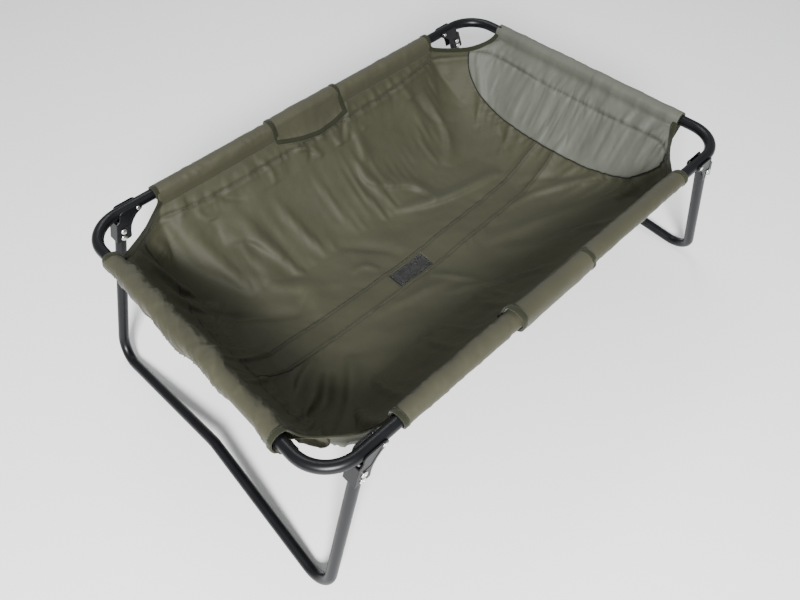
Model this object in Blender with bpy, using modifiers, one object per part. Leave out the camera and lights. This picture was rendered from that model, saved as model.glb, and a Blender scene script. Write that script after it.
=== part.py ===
"""Folding cradle: a black steel tube frame on two folding U-legs that carries an
olive fabric trough.  Metres, +Z up.  +X is the length (padded end at +X), +Y the width.
The origin is on the ground under the middle of the frame."""

import math

import bmesh
import bpy
import numpy as np
from mathutils import Matrix, Vector

# ------------------------------------------------------------------ driving dimensions
FRAME_L = 0.980            # length of the frame between tube centres
FRAME_W = 0.646            # width of the frame between tube centres
CORNER_R = 0.064           # bend radius of the frame corners
TUBE_R = 0.010             # 20 mm round tube
WALL = 0.0012              # tube wall
RAIL_Z = 0.33475           # height of the frame's tube centre above the ground
HALF_GAP = 0.00015         # half of the gap where the two frame bows meet

LEG_IN = 0.0685            # leg axis to the end rail's centre, at rail height
FOOT_OUT = 0.0450          # virtual foot corner beyond the end rail's centre
FOOT_DROP = 0.3310         # virtual foot corner below rail height
FOOT_SPLAY = 0.0070        # how far each foot stands outside its rail
FOOT_R = 0.043             # bend radius at each foot
ARCH = 0.041               # rise of the foot bar in the middle
ARCH_R = 0.070             # bend radius in the middle of the foot bar
LEG_TOP = 0.0142           # top end of the leg tube below rail height
LEG_Y_TRUE = 0.037         # depth at which the leg is exactly under its rail

PIVOT_IN = 0.0980          # pivot to the end rail's centre
PIVOT_DROP = 0.0           # the pivot pin crosses the middle of the rail tube
PLATE_IN = 0.0110          # inner face of a bracket side plate from the rail's middle
PLATE_T = 0.0020           # bracket sheet thickness
WEB_IN = 0.0110            # inner face of the bracket web from the leg axis
WEB_TOP = -0.0125          # top of the web below rail height
RIVET_LEG = (-0.0320, -0.0445)   # heights of the two leg rivets on the leg axis
GAP = 0.0003               # clearance between touching pieces

SLEEVE_IN = 0.0108         # inner radius of a rail sleeve
SLEEVE_T = 0.0018          # sleeve thickness, two layers and the hem
GRIP_IN = 0.0131
GRIP_T = 0.0034
SLEEVE_NEG = -0.354        # ends of the long sleeves
SLEEVE_POS = 0.345
END_SLEEVE_Y = 0.232       # half length of the end sleeves

SLING_Y = 0.3103           # half width of the trough at the rails
SLING_X = 0.4773           # half length of the trough at the end rails
SLING_RIM = -0.0127        # rim height from the rail centre
SLING_T = 0.0025           # fabric stand-in thickness
DEPTH_MID = 0.185          # depth of the trough floor below rail height
STRIP_Y = 0.0285           # half width of the centre strip
MESH_Y = 0.0190            # half width of the drain window
MESH_X = (-0.066, 0.022)   # ends of the drain window

# ------------------------------------------------------------------ clean start
for old in list(bpy.data.objects):
    bpy.data.objects.remove(old, do_unlink=True)

PARTS = bpy.data.collections.new("folding_cradle")
CUTS = bpy.data.collections.new("cutters")
bpy.context.scene.collection.children.link(PARTS)
bpy.context.scene.collection.children.link(CUTS)


def material(name, colour, roughness, metallic=0.0):
    m = bpy.data.materials.new(name)
    m.use_nodes = True
    b = m.node_tree.nodes["Principled BSDF"]
    b.inputs["Base Color"].default_value = (*colour, 1.0)
    b.inputs["Roughness"].default_value = roughness
    b.inputs["Metallic"].default_value = metallic
    m.diffuse_color = (*colour, 1.0)
    return m


LOOKS = {
    "frame_paint": ((0.012, 0.013, 0.015), 0.32, 0.0),
    "leg_paint": ((0.012, 0.013, 0.016), 0.34, 0.0),
    "bracket_paint": ((0.014, 0.014, 0.016), 0.38, 0.0),
    "zinc": ((0.62, 0.62, 0.60), 0.30, 1.0),
    "inner_steel": ((0.30, 0.30, 0.31), 0.45, 1.0),
    "sling_olive": ((0.088, 0.085, 0.060), 0.72, 0.0),
    "sleeve_olive": ((0.130, 0.125, 0.095), 0.68, 0.0),
    "pad_grey": ((0.160, 0.162, 0.140), 0.70, 0.0),
    "tape_olive": ((0.060, 0.061, 0.032), 0.80, 0.0),
    "strip_olive": ((0.090, 0.086, 0.062), 0.75, 0.0),
    "mesh_black": ((0.010, 0.010, 0.010), 0.80, 0.0),
    "grip_olive": ((0.135, 0.130, 0.098), 0.68, 0.0),
}


def own_material(ob, look):
    m = material(ob.name + "_" + look, *LOOKS[look])
    ob.data.materials.clear()
    ob.data.materials.append(m)


def hide_as_cutter(ob):
    ob.hide_render = True
    ob.display_type = "WIRE"


# the frame's own reference: every position below is measured from the rail centre plane
ROOT = bpy.data.objects.new("cradle_frame_plane", None)
ROOT.location = (0, 0, RAIL_Z)
PARTS.objects.link(ROOT)


def smooth(mesh, degrees=35):
    mesh.shade_smooth()
    mesh.set_sharp_from_angle(angle=math.radians(degrees))


def add_object(name, mesh, look=None, parent=ROOT, at=(0, 0, 0), collection=PARTS):
    ob = bpy.data.objects.new(name, mesh)
    collection.objects.link(ob)
    ob.parent = parent
    ob.location = at
    if look:
        own_material(ob, look)
    return ob


# ------------------------------------------------------------------ paths and tubes
def filleted(corners, radii, steps):
    """Points along straight runs joined by arcs: corners[i] is rounded to radii[i]."""
    pts = [Vector(corners[0])]
    for k in range(1, len(corners) - 1):
        p, a, b = Vector(corners[k]), Vector(corners[k - 1]), Vector(corners[k + 1])
        da, db = (a - p).normalized(), (b - p).normalized()
        half = da.angle(db) / 2
        run = radii[k] / math.tan(half)
        centre = p + (da + db).normalized() * (radii[k] / math.sin(half))
        start, end = p + da * run, p + db * run
        u = (start - centre).normalized()
        w = (end - centre).normalized()
        turn = u.angle(w)
        for i in range(steps[k] + 1):
            t = turn * i / steps[k]
            pts.append(
                centre
                + (u * math.sin(turn - t) + w * math.sin(t)) / math.sin(turn) * radii[k]
            )
    pts.append(Vector(corners[-1]))
    return pts


def swept(name, pts, radius, resolution=4, capped=False, cyclic=False):
    """A round tube or rod along pts, as a mesh."""
    cu = bpy.data.curves.new(name + "_path", "CURVE")
    cu.dimensions = "3D"
    cu.twist_mode = "MINIMUM"
    sp = cu.splines.new("POLY")
    sp.points.add(len(pts) - 1)
    for q, p in zip(sp.points, pts):
        q.co = (p[0], p[1], p[2], 1.0)
    sp.use_cyclic_u = cyclic
    cu.bevel_depth = radius
    cu.bevel_resolution = resolution
    cu.use_fill_caps = capped
    ob = bpy.data.objects.new(name + "_path", cu)
    bpy.context.scene.collection.objects.link(ob)
    dg = bpy.context.evaluated_depsgraph_get()
    mesh = bpy.data.meshes.new_from_object(ob.evaluated_get(dg))
    bpy.data.objects.remove(ob, do_unlink=True)
    bpy.data.curves.remove(cu)
    bm = bmesh.new()
    bm.from_mesh(mesh)
    bmesh.ops.remove_doubles(bm, verts=bm.verts, dist=0.00001)
    bmesh.ops.recalc_face_normals(bm, faces=bm.faces)
    if capped is False and not cyclic:
        # an open tube: make the normals point away from the path
        f = bm.faces[0] if bm.faces else None
        bm.faces.ensure_lookup_table()
        f = bm.faces[0]
        c = f.calc_center_median()
        near = min(
            (
                (Vector(p) + (Vector(q) - Vector(p)) * t)
                for p, q in zip(pts[:-1], pts[1:])
                for t in (0.0, 0.25, 0.5, 0.75, 1.0)
            ),
            key=lambda s: (s - c).length,
        )
        if f.normal.dot(c - near) < 0:
            bmesh.ops.reverse_faces(bm, faces=bm.faces)
    bm.to_mesh(mesh)
    bm.free()
    mesh.name = name
    return mesh


def pipe(name, pts, radius, wall, look, parent=ROOT, at=(0, 0, 0), resolution=4):
    mesh = swept(name, pts, radius, resolution)
    smooth(mesh)
    ob = add_object(name, mesh, look, parent, at)
    so = ob.modifiers.new("wall", "SOLIDIFY")
    so.thickness = wall
    so.offset = -1.0
    so.use_even_offset = True
    return ob


def cylinder_cutter(name, radius, length, at, axis, parent=ROOT, segments=16):
    bm = bmesh.new()
    bmesh.ops.create_cone(
        bm,
        cap_ends=True,
        segments=segments,
        radius1=radius,
        radius2=radius,
        depth=length,
    )
    turn = Vector((0, 0, 1)).rotation_difference(Vector(axis)).to_matrix()
    bmesh.ops.transform(bm, matrix=turn.to_4x4(), verts=bm.verts)
    mesh = bpy.data.meshes.new(name)
    bm.to_mesh(mesh)
    bm.free()
    ob = add_object(name, mesh, None, parent, at, CUTS)
    hide_as_cutter(ob)
    return ob


def cut(ob, cutter):
    b = ob.modifiers.new("cut_" + cutter.name, "BOOLEAN")
    b.operation = "DIFFERENCE"
    b.solver = "EXACT"
    b.object = cutter


# ------------------------------------------------------------------ frame bows
HX, HY = FRAME_L / 2, FRAME_W / 2


def frame_bow(name, side):
    corners = [
        (side * HALF_GAP, -HY, 0),
        (side * HX, -HY, 0),
        (side * HX, HY, 0),
        (side * HALF_GAP, HY, 0),
    ]
    return pipe(
        name,
        filleted(corners, [0, CORNER_R, CORNER_R, 0], [0, 7, 7, 0]),
        TUBE_R,
        WALL,
        "frame_paint",
    )


bows = {"left": frame_bow("frame_bow_left", -1), "right": frame_bow("frame_bow_right", 1)}

# spigots that join the two bows in the middle of each long rail, with flush pins
SPIGOT_R, SPIGOT_WALL, SPIGOT_HALF, SPIGOT_PIN_X = 0.0083, 0.0015, 0.060, 0.040
PIN_R = 0.0020
for rail, y in (("near", -HY), ("far", HY)):
    spigot = pipe(
        "rail_spigot_" + rail,
        [(-SPIGOT_HALF, y, 0), (0, y, 0), (SPIGOT_HALF, y, 0)],
        SPIGOT_R,
        SPIGOT_WALL,
        "inner_steel",
    )
    for end, sx in (("left", -1), ("right", 1)):
        c = cylinder_cutter(
            f"cut_spigot_pin_{rail}_{end}",
            PIN_R + GAP,
            0.04,
            (sx * SPIGOT_PIN_X, y, 0),
            (0, 0, 1),
            segments=12,
        )
        cut(spigot, c)
        cut(bows[end], c)
        bm = bmesh.new()
        bmesh.ops.create_cone(
            bm, cap_ends=True, segments=12, radius1=PIN_R, radius2=PIN_R, depth=0.0188
        )
        mesh = bpy.data.meshes.new(f"spigot_pin_{rail}_{end}")
        bm.to_mesh(mesh)
        bm.free()
        smooth(mesh)
        add_object(mesh.name, mesh, "zinc", ROOT, (sx * SPIGOT_PIN_X, y, 0))

# ------------------------------------------------------------------ legs
LEAN = (LEG_IN + FOOT_OUT) / FOOT_DROP           # run of the leg per metre of drop
LEAN_ANGLE = math.atan(LEAN)
SPLAY = FOOT_SPLAY / (FOOT_DROP - LEG_Y_TRUE)


def leg_x(drop):
    """Distance of the leg axis from the frame's middle at a depth below the rail."""
    return HX - LEG_IN + LEAN * drop


def leg_y(drop):
    return HY + SPLAY * (drop - LEG_Y_TRUE)


legs, pivots = {}, {}
for end, sx in (("left", -1), ("right", 1)):
    hub = bpy.data.objects.new(f"leg_pivot_{end}", None)
    hub.location = (sx * (HX - PIVOT_IN), 0, PIVOT_DROP)
    hub.parent = ROOT
    PARTS.objects.link(hub)
    pivots[end] = hub
    off = Vector(hub.location)

    def local(x, y, z):
        return Vector((x, y, z)) - off

    mid_drop = FOOT_DROP - ARCH
    corners = [
        local(sx * leg_x(LEG_TOP), leg_y(LEG_TOP), -LEG_TOP),
        local(sx * leg_x(FOOT_DROP), leg_y(FOOT_DROP), -FOOT_DROP),
        local(sx * leg_x(mid_drop), 0, -mid_drop),
        local(sx * leg_x(FOOT_DROP), -leg_y(FOOT_DROP), -FOOT_DROP),
        local(sx * leg_x(LEG_TOP), -leg_y(LEG_TOP), -LEG_TOP),
    ]
    legs[end] = pipe(
        f"leg_tube_{end}",
        filleted(corners, [0, FOOT_R, ARCH_R, FOOT_R, 0], [0, 7, 3, 7, 0]),
        TUBE_R,
        WALL,
        "leg_paint",
        hub,
    )

# ------------------------------------------------------------------ hinge brackets
# outline in millimetres: distance from the end rail's centre, height from rail centre
OUTLINE = [
    (37.9, -49.2), (39.6, -50.8), (64.0, -51.6), (67.2, -50.2), (68.6, -47.0),
    (70.8, -38.0), (75.8, -27.2), (82.6, -18.6), (90.6, -11.8), (98.4, -7.9),
    (103.4, -5.9), (105.9, -2.3), (105.9, 1.9), (103.6, 5.3), (99.6, 6.8),
    (70.0, 6.8), (66.0, 6.0), (63.0, 3.6), (61.2, 0.0), (59.6, -5.4),
    (56.4, -9.6), (51.6, -12.0), (50.2, -13.6),
]
INSIDE = [
    (20.0, 25.0), (20.0, WEB_TOP * 1000), (52.58, WEB_TOP * 1000),
    (32.9, -70.0), (125.0, -70.0), (125.0, 25.0),
]
POCKET = [
    (67.5, 3.6), (90.0, 3.6), (92.0, 1.2), (91.0, -4.4), (84.6, -10.0), (77.2, -17.2),
    (71.2, -24.0), (58.4, -24.6), (56.2, -22.6), (60.6, -8.0), (64.2, 1.0),
]


def prism(name, outline, half_width, collection=PARTS, look=None, parent=ROOT,
          at=(0, 0, 0), flip=1, middle=0.0):
    """A flat outline in the X-Z plane given real thickness along Y."""
    cu = bpy.data.curves.new(name + "_outline", "CURVE")
    cu.dimensions = "2D"
    cu.fill_mode = "BOTH"
    cu.extrude = half_width
    sp = cu.splines.new("POLY")
    sp.points.add(len(outline) - 1)
    for q, (x, z) in zip(sp.points, outline):
        q.co = (x * flip, z, 0, 1)
    sp.use_cyclic_u = True
    ob = bpy.data.objects.new(name + "_outline", cu)
    bpy.context.scene.collection.objects.link(ob)
    dg = bpy.context.evaluated_depsgraph_get()
    mesh = bpy.data.meshes.new_from_object(ob.evaluated_get(dg))
    bpy.data.objects.remove(ob, do_unlink=True)
    bpy.data.curves.remove(cu)
    mesh.transform(
        Matrix.Translation((0, middle, 0)) @ Matrix.Rotation(math.radians(90), 4, "X")
    )
    bm = bmesh.new()
    bm.from_mesh(mesh)
    bmesh.ops.remove_doubles(bm, verts=bm.verts, dist=0.00001)
    bmesh.ops.recalc_face_normals(bm, faces=bm.faces)
    bm.to_mesh(mesh)
    bm.free()
    mesh.name = name
    return add_object(name, mesh, look, parent, at, collection)


def turned(name, profile, look, parent, at, steps=10):
    """A turned piece: the profile is (radius, height), top to bottom, turned to lie along Y."""
    mesh = bpy.data.meshes.new(name)
    mesh.from_pydata(
        [(r, 0, z) for r, z in profile], [(i, i + 1) for i in range(len(profile) - 1)], []
    )
    ob = add_object(name, mesh, look, parent, at)
    ob.rotation_euler = (math.radians(90), 0, 0)
    sc = ob.modifiers.new("turn", "SCREW")
    sc.axis = "Z"
    sc.angle = math.tau
    sc.steps = steps
    sc.render_steps = steps
    sc.use_merge_vertices = True
    sc.merge_threshold = 0.00002
    sc.use_smooth_shade = True
    return ob


def rivet_profile(shank, head, rise, grip, dimple):
    """Domed head, shank and formed tail of a through rivet."""
    g = grip / 2 + GAP
    dome = [(head * math.sin(a), g + rise * (0.35 + 0.65 * math.cos(a)))
            for a in (0.55, 1.10, math.pi / 2)]
    top = [(0.0, g + rise * 0.82), (dimple, g + rise * 0.86)] + dome + [(head * 0.98, g)]
    tail = [(head * 0.90, -g), (head * 0.90, -g - rise * 0.5), (head * 0.55, -g - rise),
            (0.0, -g - rise)]
    return top + [(shank, g), (shank, -g)] + tail


PLATE_OUT = PLATE_IN + PLATE_T
for end, sx in (("left", -1), ("right", 1)):
    hub = pivots[end]
    base = Vector((-sx * (HX - PIVOT_IN), 0, -PIVOT_DROP))
    for rail, sy in (("near", -1), ("far", 1)):
        tag = f"{rail}_{end}"
        y = sy * HY
        # world x of an outline point is sx * (HX - s)
        def place(points):
            return [(HX - s / 1000.0, z / 1000.0) for s, z in points]

        at = (base.x, y, base.z)
        bracket = prism(f"hinge_bracket_{tag}", place(OUTLINE), PLATE_OUT, PARTS,
                        "bracket_paint", hub, at, sx)
        inner = prism(f"cut_channel_{tag}", place(INSIDE), PLATE_IN, CUTS,
                      None, hub, at, sx)
        hide_as_cutter(inner)
        edge = bracket.modifiers.new("folded_edges", "BEVEL")
        edge.width = 0.0012
        edge.segments = 1
        edge.limit_method = "ANGLE"
        edge.angle_limit = math.radians(60)
        edge.use_clamp_overlap = True
        cut(bracket, inner)
        for face in (-1, 1):
            pocket = prism(f"cut_panel_{tag}_{'outer' if face == sy else 'inner'}",
                           place(POCKET), 0.0010, CUTS, None, hub, at, sx,
                           face * (PLATE_OUT + 0.0010 - 0.0006))
            hide_as_cutter(pocket)
            cut(bracket, pocket)
        holes = [("pivot", HX - PIVOT_IN, 0.0, 0.0026)]
        for i, drop in enumerate(RIVET_LEG):
            holes.append((f"leg{i + 1}", leg_x(-drop), drop, 0.0032))
        for hole, hx, hz, hr in holes:
            c = cylinder_cutter(f"cut_{hole}_hole_{tag}", hr + GAP, 0.060,
                                (base.x + sx * hx, y, base.z + hz), (0, 1, 0), hub, 12)
            cut(bracket, c)
            if hole == "pivot":
                cut(bows[end], c)
            else:
                cut(legs[end], c)
        turned(f"pivot_rivet_{tag}",
               [(r, -sy * 0 + z) for r, z in
                rivet_profile(0.0026, 0.0040, 0.0018, 2 * PLATE_OUT, 0.0012)],
               "zinc", hub, (base.x + sx * (HX - PIVOT_IN), y, base.z))
        for i, drop in enumerate(RIVET_LEG):
            turned(f"leg_rivet_{('upper', 'lower')[i]}_{tag}",
                   rivet_profile(0.0032, 0.0057, 0.0024, 2 * PLATE_OUT, 0.0016),
                   "zinc", hub, (base.x + sx * leg_x(-drop), y, base.z + drop))

# ------------------------------------------------------------------ rail sleeves and grips
for rail, y in (("near", -HY), ("far", HY)):
    pipe(f"rail_sleeve_{rail}",
         [(SLEEVE_NEG, y, 0), (0, y, 0), (SLEEVE_POS, y, 0)],
         SLEEVE_IN + SLEEVE_T, SLEEVE_T, "sleeve_olive")
for end, sx in (("left", -1), ("right", 1)):
    pipe(f"end_sleeve_{end}",
         [(sx * HX, -END_SLEEVE_Y, 0), (sx * HX, 0, 0), (sx * HX, END_SLEEVE_Y, 0)],
         SLEEVE_IN + SLEEVE_T, SLEEVE_T, "sleeve_olive")
for rail, y, x0, x1 in (("near", -HY, -0.112, 0.072), ("far", HY, -0.094, 0.080)):
    pipe(f"carry_grip_{rail}",
         [(x0, y, 0), ((x0 + x1) / 2, y, 0), (x1, y, 0)],
         GRIP_IN + GRIP_T, GRIP_T, "grip_olive")


# ------------------------------------------------------------------ trough fabric
def rim_row(sx, sleeve_end, cut_mid, seam_x, seam_h, n_rail):
    """Rows from the middle to the end seam: (x in the middle, rim x, rim y, rim z, depth)."""
    rows = []
    for i in range(n_rail + 1):
        k = i / n_rail
        xc = k * seam_x * 0.925
        rows.append((sx * xc, sx * k * sleeve_end, SLING_Y, SLING_RIM,
                     DEPTH_MID - (DEPTH_MID - seam_h) * (xc / seam_x) ** 2))
    cx, cy, cz = cut_mid
    for k in (0.5, 1.0):
        bow = math.sin(math.pi * k / 2)
        xc = seam_x * (0.925 + 0.075 * k)
        rows.append((sx * xc,
                     sx * (sleeve_end + (cx - sleeve_end) * k),
                     SLING_Y + (cy - SLING_Y) * (k * 0.85 + 0.15 * k * k),
                     SLING_RIM + (cz - SLING_RIM) * bow,
                     DEPTH_MID - (DEPTH_MID - seam_h) * (xc / seam_x) ** 2))
    return rows


CUT_LEFT = (0.412, 0.278, -0.028)      # middle of each corner cut-out, x, y, z
CUT_RIGHT = (0.418, 0.258, -0.022)
left = rim_row(-1, -SLEEVE_NEG, CUT_LEFT, 0.428, 0.165, 6)
right = rim_row(1, SLEEVE_POS, CUT_RIGHT, 0.402, 0.150, 6)
ROWS = left[::-1][:-1] + right
# a row on each end of the drain window replaces the two rows beside the middle
for mx in MESH_X:
    k = mx / (-SLEEVE_NEG if mx < 0 else SLEEVE_POS)
    ROWS.append((mx, mx, SLING_Y, SLING_RIM, DEPTH_MID))
ROWS = sorted(
    (r for r in ROWS if not (r[0] != MESH_X[0] and r[0] != MESH_X[1]
                             and (-0.085 < r[0] < 0.045))),
    key=lambda r: r[0],
)
SEAM_LEFT, SEAM_RIGHT = 0, len(ROWS) - 1
POWER = 0.80                             # makes the cross-section a soft square U


def v_of(y):
    """Column parameter whose point lies y from the middle."""
    return math.asin((y / SLING_Y) ** (1 / POWER)) / (math.pi / 2)


COLS = [-1, -0.93, -0.85, -0.76, -0.66, -0.55, -0.42, -0.28, -0.16,
        -v_of(STRIP_Y), -v_of(MESH_Y), v_of(MESH_Y), v_of(STRIP_Y),
        0.16, 0.28, 0.42, 0.55, 0.66, 0.76, 0.85, 0.93, 1]


def floor_point(row, v):
    xc, xr, yr, zr, depth = row
    a = abs(v) * math.pi / 2
    s, c = math.sin(a) ** POWER, max(math.cos(a), 0.0) ** POWER
    blend = abs(v) ** 3
    return Vector((
        xc + (xr - xc) * blend,
        math.copysign(yr * s, v),
        zr - (depth + zr) * c,
    ))


def end_point(sx, row, v, t):
    """From the end seam (t 0) up to the end rail's sleeve (t 1)."""
    a = floor_point(row, v)
    b = Vector((sx * SLING_X, END_SLEEVE_Y * v, SLING_RIM))
    p = a.lerp(b, t)
    p.z -= 0.010 * math.sin(math.pi * t) * (1 - abs(v) ** 2)
    return p


END_T = (0.25, 0.5, 0.75, 1.0)
GRID = []
for t in END_T[::-1]:
    GRID.append([end_point(-1, ROWS[0], v, t) for v in COLS])
for r in ROWS:
    GRID.append([floor_point(r, v) for v in COLS])
for t in END_T:
    GRID.append([end_point(1, ROWS[-1], v, t) for v in COLS])
N_R, N_C = len(GRID), len(COLS)
FIRST_ROW = len(END_T)                   # grid row of the left seam
LAST_ROW = FIRST_ROW + len(ROWS) - 1     # grid row of the right seam
WIN_ROWS = [FIRST_ROW + i for i, r in enumerate(ROWS) if r[0] in MESH_X]
WIN_COLS = (10, 11)


def grid_normal(i, j):
    a = GRID[min(i + 1, N_R - 1)][j] - GRID[max(i - 1, 0)][j]
    b = GRID[i][min(j + 1, N_C - 1)] - GRID[i][max(j - 1, 0)]
    return a.cross(b).normalized()


def patch(name, rows, cols, lift, thickness, look, grow_up, holes=()):
    """Part of the trough surface, lifted off it and given thickness."""
    verts, index = [], {}
    for i in rows:
        for j in cols:
            index[i, j] = len(verts)
            verts.append(GRID[i][j] + grid_normal(i, j) * lift)
    faces = []
    for i, i2 in zip(rows[:-1], rows[1:]):
        for j, j2 in zip(cols[:-1], cols[1:]):
            if (i, j) in holes:
                continue
            a, b, c, d = index[i, j], index[i2, j], index[i2, j2], index[i, j2]
            faces += [(a, b, c), (a, c, d)]
    mesh = bpy.data.meshes.new(name)
    mesh.from_pydata(verts, [], faces)
    mesh.update()
    smooth(mesh, 60)
    ob = add_object(name, mesh, look)
    so = ob.modifiers.new("cloth", "SOLIDIFY")
    so.thickness = thickness
    so.offset = 1.0 if grow_up else -1.0
    so.use_even_offset = True
    return ob


WINDOW = {(WIN_ROWS[0], WIN_COLS[0])}
patch("sling", list(range(N_R)), list(range(N_C)), 0.0, SLING_T, "sling_olive", False,
      WINDOW)
patch("centre_strip", list(range(FIRST_ROW, LAST_ROW)), [9, 10, 11, 12], 0.0006, 0.0010,
      "strip_olive", True, WINDOW)
patch("head_pad", list(range(LAST_ROW, N_R - 1)), list(range(1, N_C - 1)), 0.0008, 0.006,
      "pad_grey", True)

# the drain mesh lies in the window of the strip and the trough
w0, w1 = WIN_ROWS
in_x, in_y = 0.0006, 0.0006
corner_pts = []
for i in (w0, w1):
    for j in WIN_COLS:
        p = GRID[i][j].copy()
        p.x += in_x if i == w0 else -in_x
        p.y += in_y if j == WIN_COLS[0] else -in_y
        p.z -= 0.0010
        corner_pts.append(p)
mesh = bpy.data.meshes.new("drain_mesh")
mesh.from_pydata([tuple(p) for p in corner_pts], [], [(0, 2, 3), (0, 3, 1)])
mesh.update()
drain = add_object("drain_mesh", mesh, "mesh_black")
so = drain.modifiers.new("mesh_thickness", "SOLIDIFY")
so.thickness = 0.0010
so.offset = 1.0

# ------------------------------------------------------------------ bound corner cut-outs
BIND_R = 0.0030
for end, sx in (("left", -1), ("right", 1)):
    if sx < 0:
        edge_rows = list(range(FIRST_ROW + 2, -1, -1))
    else:
        edge_rows = list(range(LAST_ROW - 2, N_R))
    for rail, sy in (("near", -1), ("far", 1)):
        j = 0 if sy < 0 else N_C - 1
        edge = [GRID[i][j].copy() for i in edge_rows]
        inner = [GRID[i][1 if sy < 0 else N_C - 2] for i in edge_rows]
        pts = []
        for k, p in enumerate(edge):
            a, b = edge[max(k - 1, 0)], edge[min(k + 1, len(edge) - 1)]
            along = (b - a).normalized()
            out = p - inner[k]
            out = (out - along * out.dot(along)).normalized()
            flat = Vector((sx * 0.70, sy * 0.70, 0.15)).normalized()
            flat = (flat - along * flat.dot(along)).normalized()
            pts.append(p + flat * (BIND_R + 0.0028))
        # the ends stop short of the rail sleeves
        first = pts[0] + (pts[1] - pts[0]) * 0.30
        last = pts[-1] + (pts[-2] - pts[-1]) * 0.30
        pts = [first] + pts[1:-1] + [last]
        mesh = swept(f"corner_binding_{rail}_{end}", pts, BIND_R, 2, True)
        smooth(mesh)
        add_object(mesh.name, mesh, "tape_olive")

bpy.context.view_layer.update()
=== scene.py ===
"""Looks of the folding cradle: painted tube frame, pressed hinge brackets and a sewn cloth trough."""

import math

import bmesh
import bpy
import numpy as np
from mathutils import Matrix, Vector


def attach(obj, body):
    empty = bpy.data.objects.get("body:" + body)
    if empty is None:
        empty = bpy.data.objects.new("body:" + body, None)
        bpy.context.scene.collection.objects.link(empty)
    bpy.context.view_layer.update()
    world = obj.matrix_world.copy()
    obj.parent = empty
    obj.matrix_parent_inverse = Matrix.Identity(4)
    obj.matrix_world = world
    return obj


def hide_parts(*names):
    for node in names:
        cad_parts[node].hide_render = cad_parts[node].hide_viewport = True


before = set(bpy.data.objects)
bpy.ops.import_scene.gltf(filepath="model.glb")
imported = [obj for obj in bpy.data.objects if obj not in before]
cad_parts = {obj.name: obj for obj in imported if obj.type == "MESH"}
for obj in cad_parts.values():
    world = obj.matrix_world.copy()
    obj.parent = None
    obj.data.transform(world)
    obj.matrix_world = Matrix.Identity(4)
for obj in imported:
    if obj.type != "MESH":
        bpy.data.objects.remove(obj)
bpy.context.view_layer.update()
rng = np.random.default_rng(41)

# ------------------------------------------------------------------ sizes, metres; z from the rail plane
RZ = 0.33475
HX, HY = 0.490, 0.323
TUBE_R = 0.010
CORNER_R = 0.064
LEG_IN, FOOT_OUT, FOOT_DROP = 0.0685, 0.0450, 0.3310
FOOT_R, ARCH, ARCH_R, LEG_TOP = 0.043, 0.041, 0.070, 0.0142
FOOT_SPLAY, LEG_Y_TRUE, PIVOT_IN = 0.0070, 0.037, 0.0980
SLEEVE_NEG, SLEEVE_POS, END_Y = -0.354, 0.345, 0.232
SLING_X, SLING_Y, RIM, DEPTH_MID = 0.4773, 0.3103, -0.0127, 0.185
STRIP_Y, MESH_Y, MESH_X = 0.0285, 0.0190, (-0.066, 0.022)
CUT_LEFT, CUT_RIGHT = (0.412, 0.278, -0.028), (0.418, 0.258, -0.022)
POWER = 0.80


# ------------------------------------------------------------------ small tools
def lattice(seed, size=64):
    return np.random.default_rng(seed).uniform(-1, 1, (size, size))


def noise2(x, y, seed):
    """Smooth noise in -1..1 over a unit lattice."""
    g = lattice(seed)
    n = g.shape[0]
    xi, yi = np.floor(x).astype(int), np.floor(y).astype(int)
    fx, fy = x - xi, y - yi
    fx = fx * fx * fx * (fx * (fx * 6 - 15) + 10)
    fy = fy * fy * fy * (fy * (fy * 6 - 15) + 10)
    a, b = g[xi % n, yi % n], g[(xi + 1) % n, yi % n]
    c, d = g[xi % n, (yi + 1) % n], g[(xi + 1) % n, (yi + 1) % n]
    return (a * (1 - fx) + b * fx) * (1 - fy) + (c * (1 - fx) + d * fx) * fy


def fbm(x, y, seed, octaves=3, gain=0.5):
    total, amp, norm = 0.0, 1.0, 0.0
    for k in range(octaves):
        total = total + amp * noise2(x * 2**k + 7.3 * k, y * 2**k + 3.1 * k, seed + k)
        norm += amp
        amp *= gain
    return total / norm


def smoothstep(a, b, x):
    t = np.clip((x - a) / (b - a), 0, 1)
    return t * t * (3 - 2 * t)


def catmull(points, n, closed=False):
    """A smooth line through points, n samples evenly spaced along it."""
    p = np.array(points, float)
    if closed:
        q = np.vstack([p[-1:], p, p[:2]])
    else:
        q = np.vstack([2 * p[:1] - p[1:2], p, 2 * p[-1:] - p[-2:-1]])
    out = []
    m = 24
    for i in range(1, len(q) - 2):
        for k in range(m):
            t = k / m
            a, b, c, d = q[i - 1], q[i], q[i + 1], q[i + 2]
            out.append(0.5 * (2 * b + (c - a) * t + (2 * a - 5 * b + 4 * c - d) * t**2
                              + (3 * b - a - 3 * c + d) * t**3))
    out.append(q[-2] if not closed else q[1])
    out = np.array(out)
    s = np.concatenate([[0], np.cumsum(np.linalg.norm(np.diff(out, axis=0), axis=1))])
    want = np.linspace(0, s[-1], n + 1)[:-1] if closed else np.linspace(0, s[-1], n)
    return np.stack([np.interp(want, s, out[:, k]) for k in range(out.shape[1])], 1)


def arc(points):
    p = np.array(points, float)
    return np.concatenate([[0], np.cumsum(np.linalg.norm(np.diff(p, axis=0), axis=1))])


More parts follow.
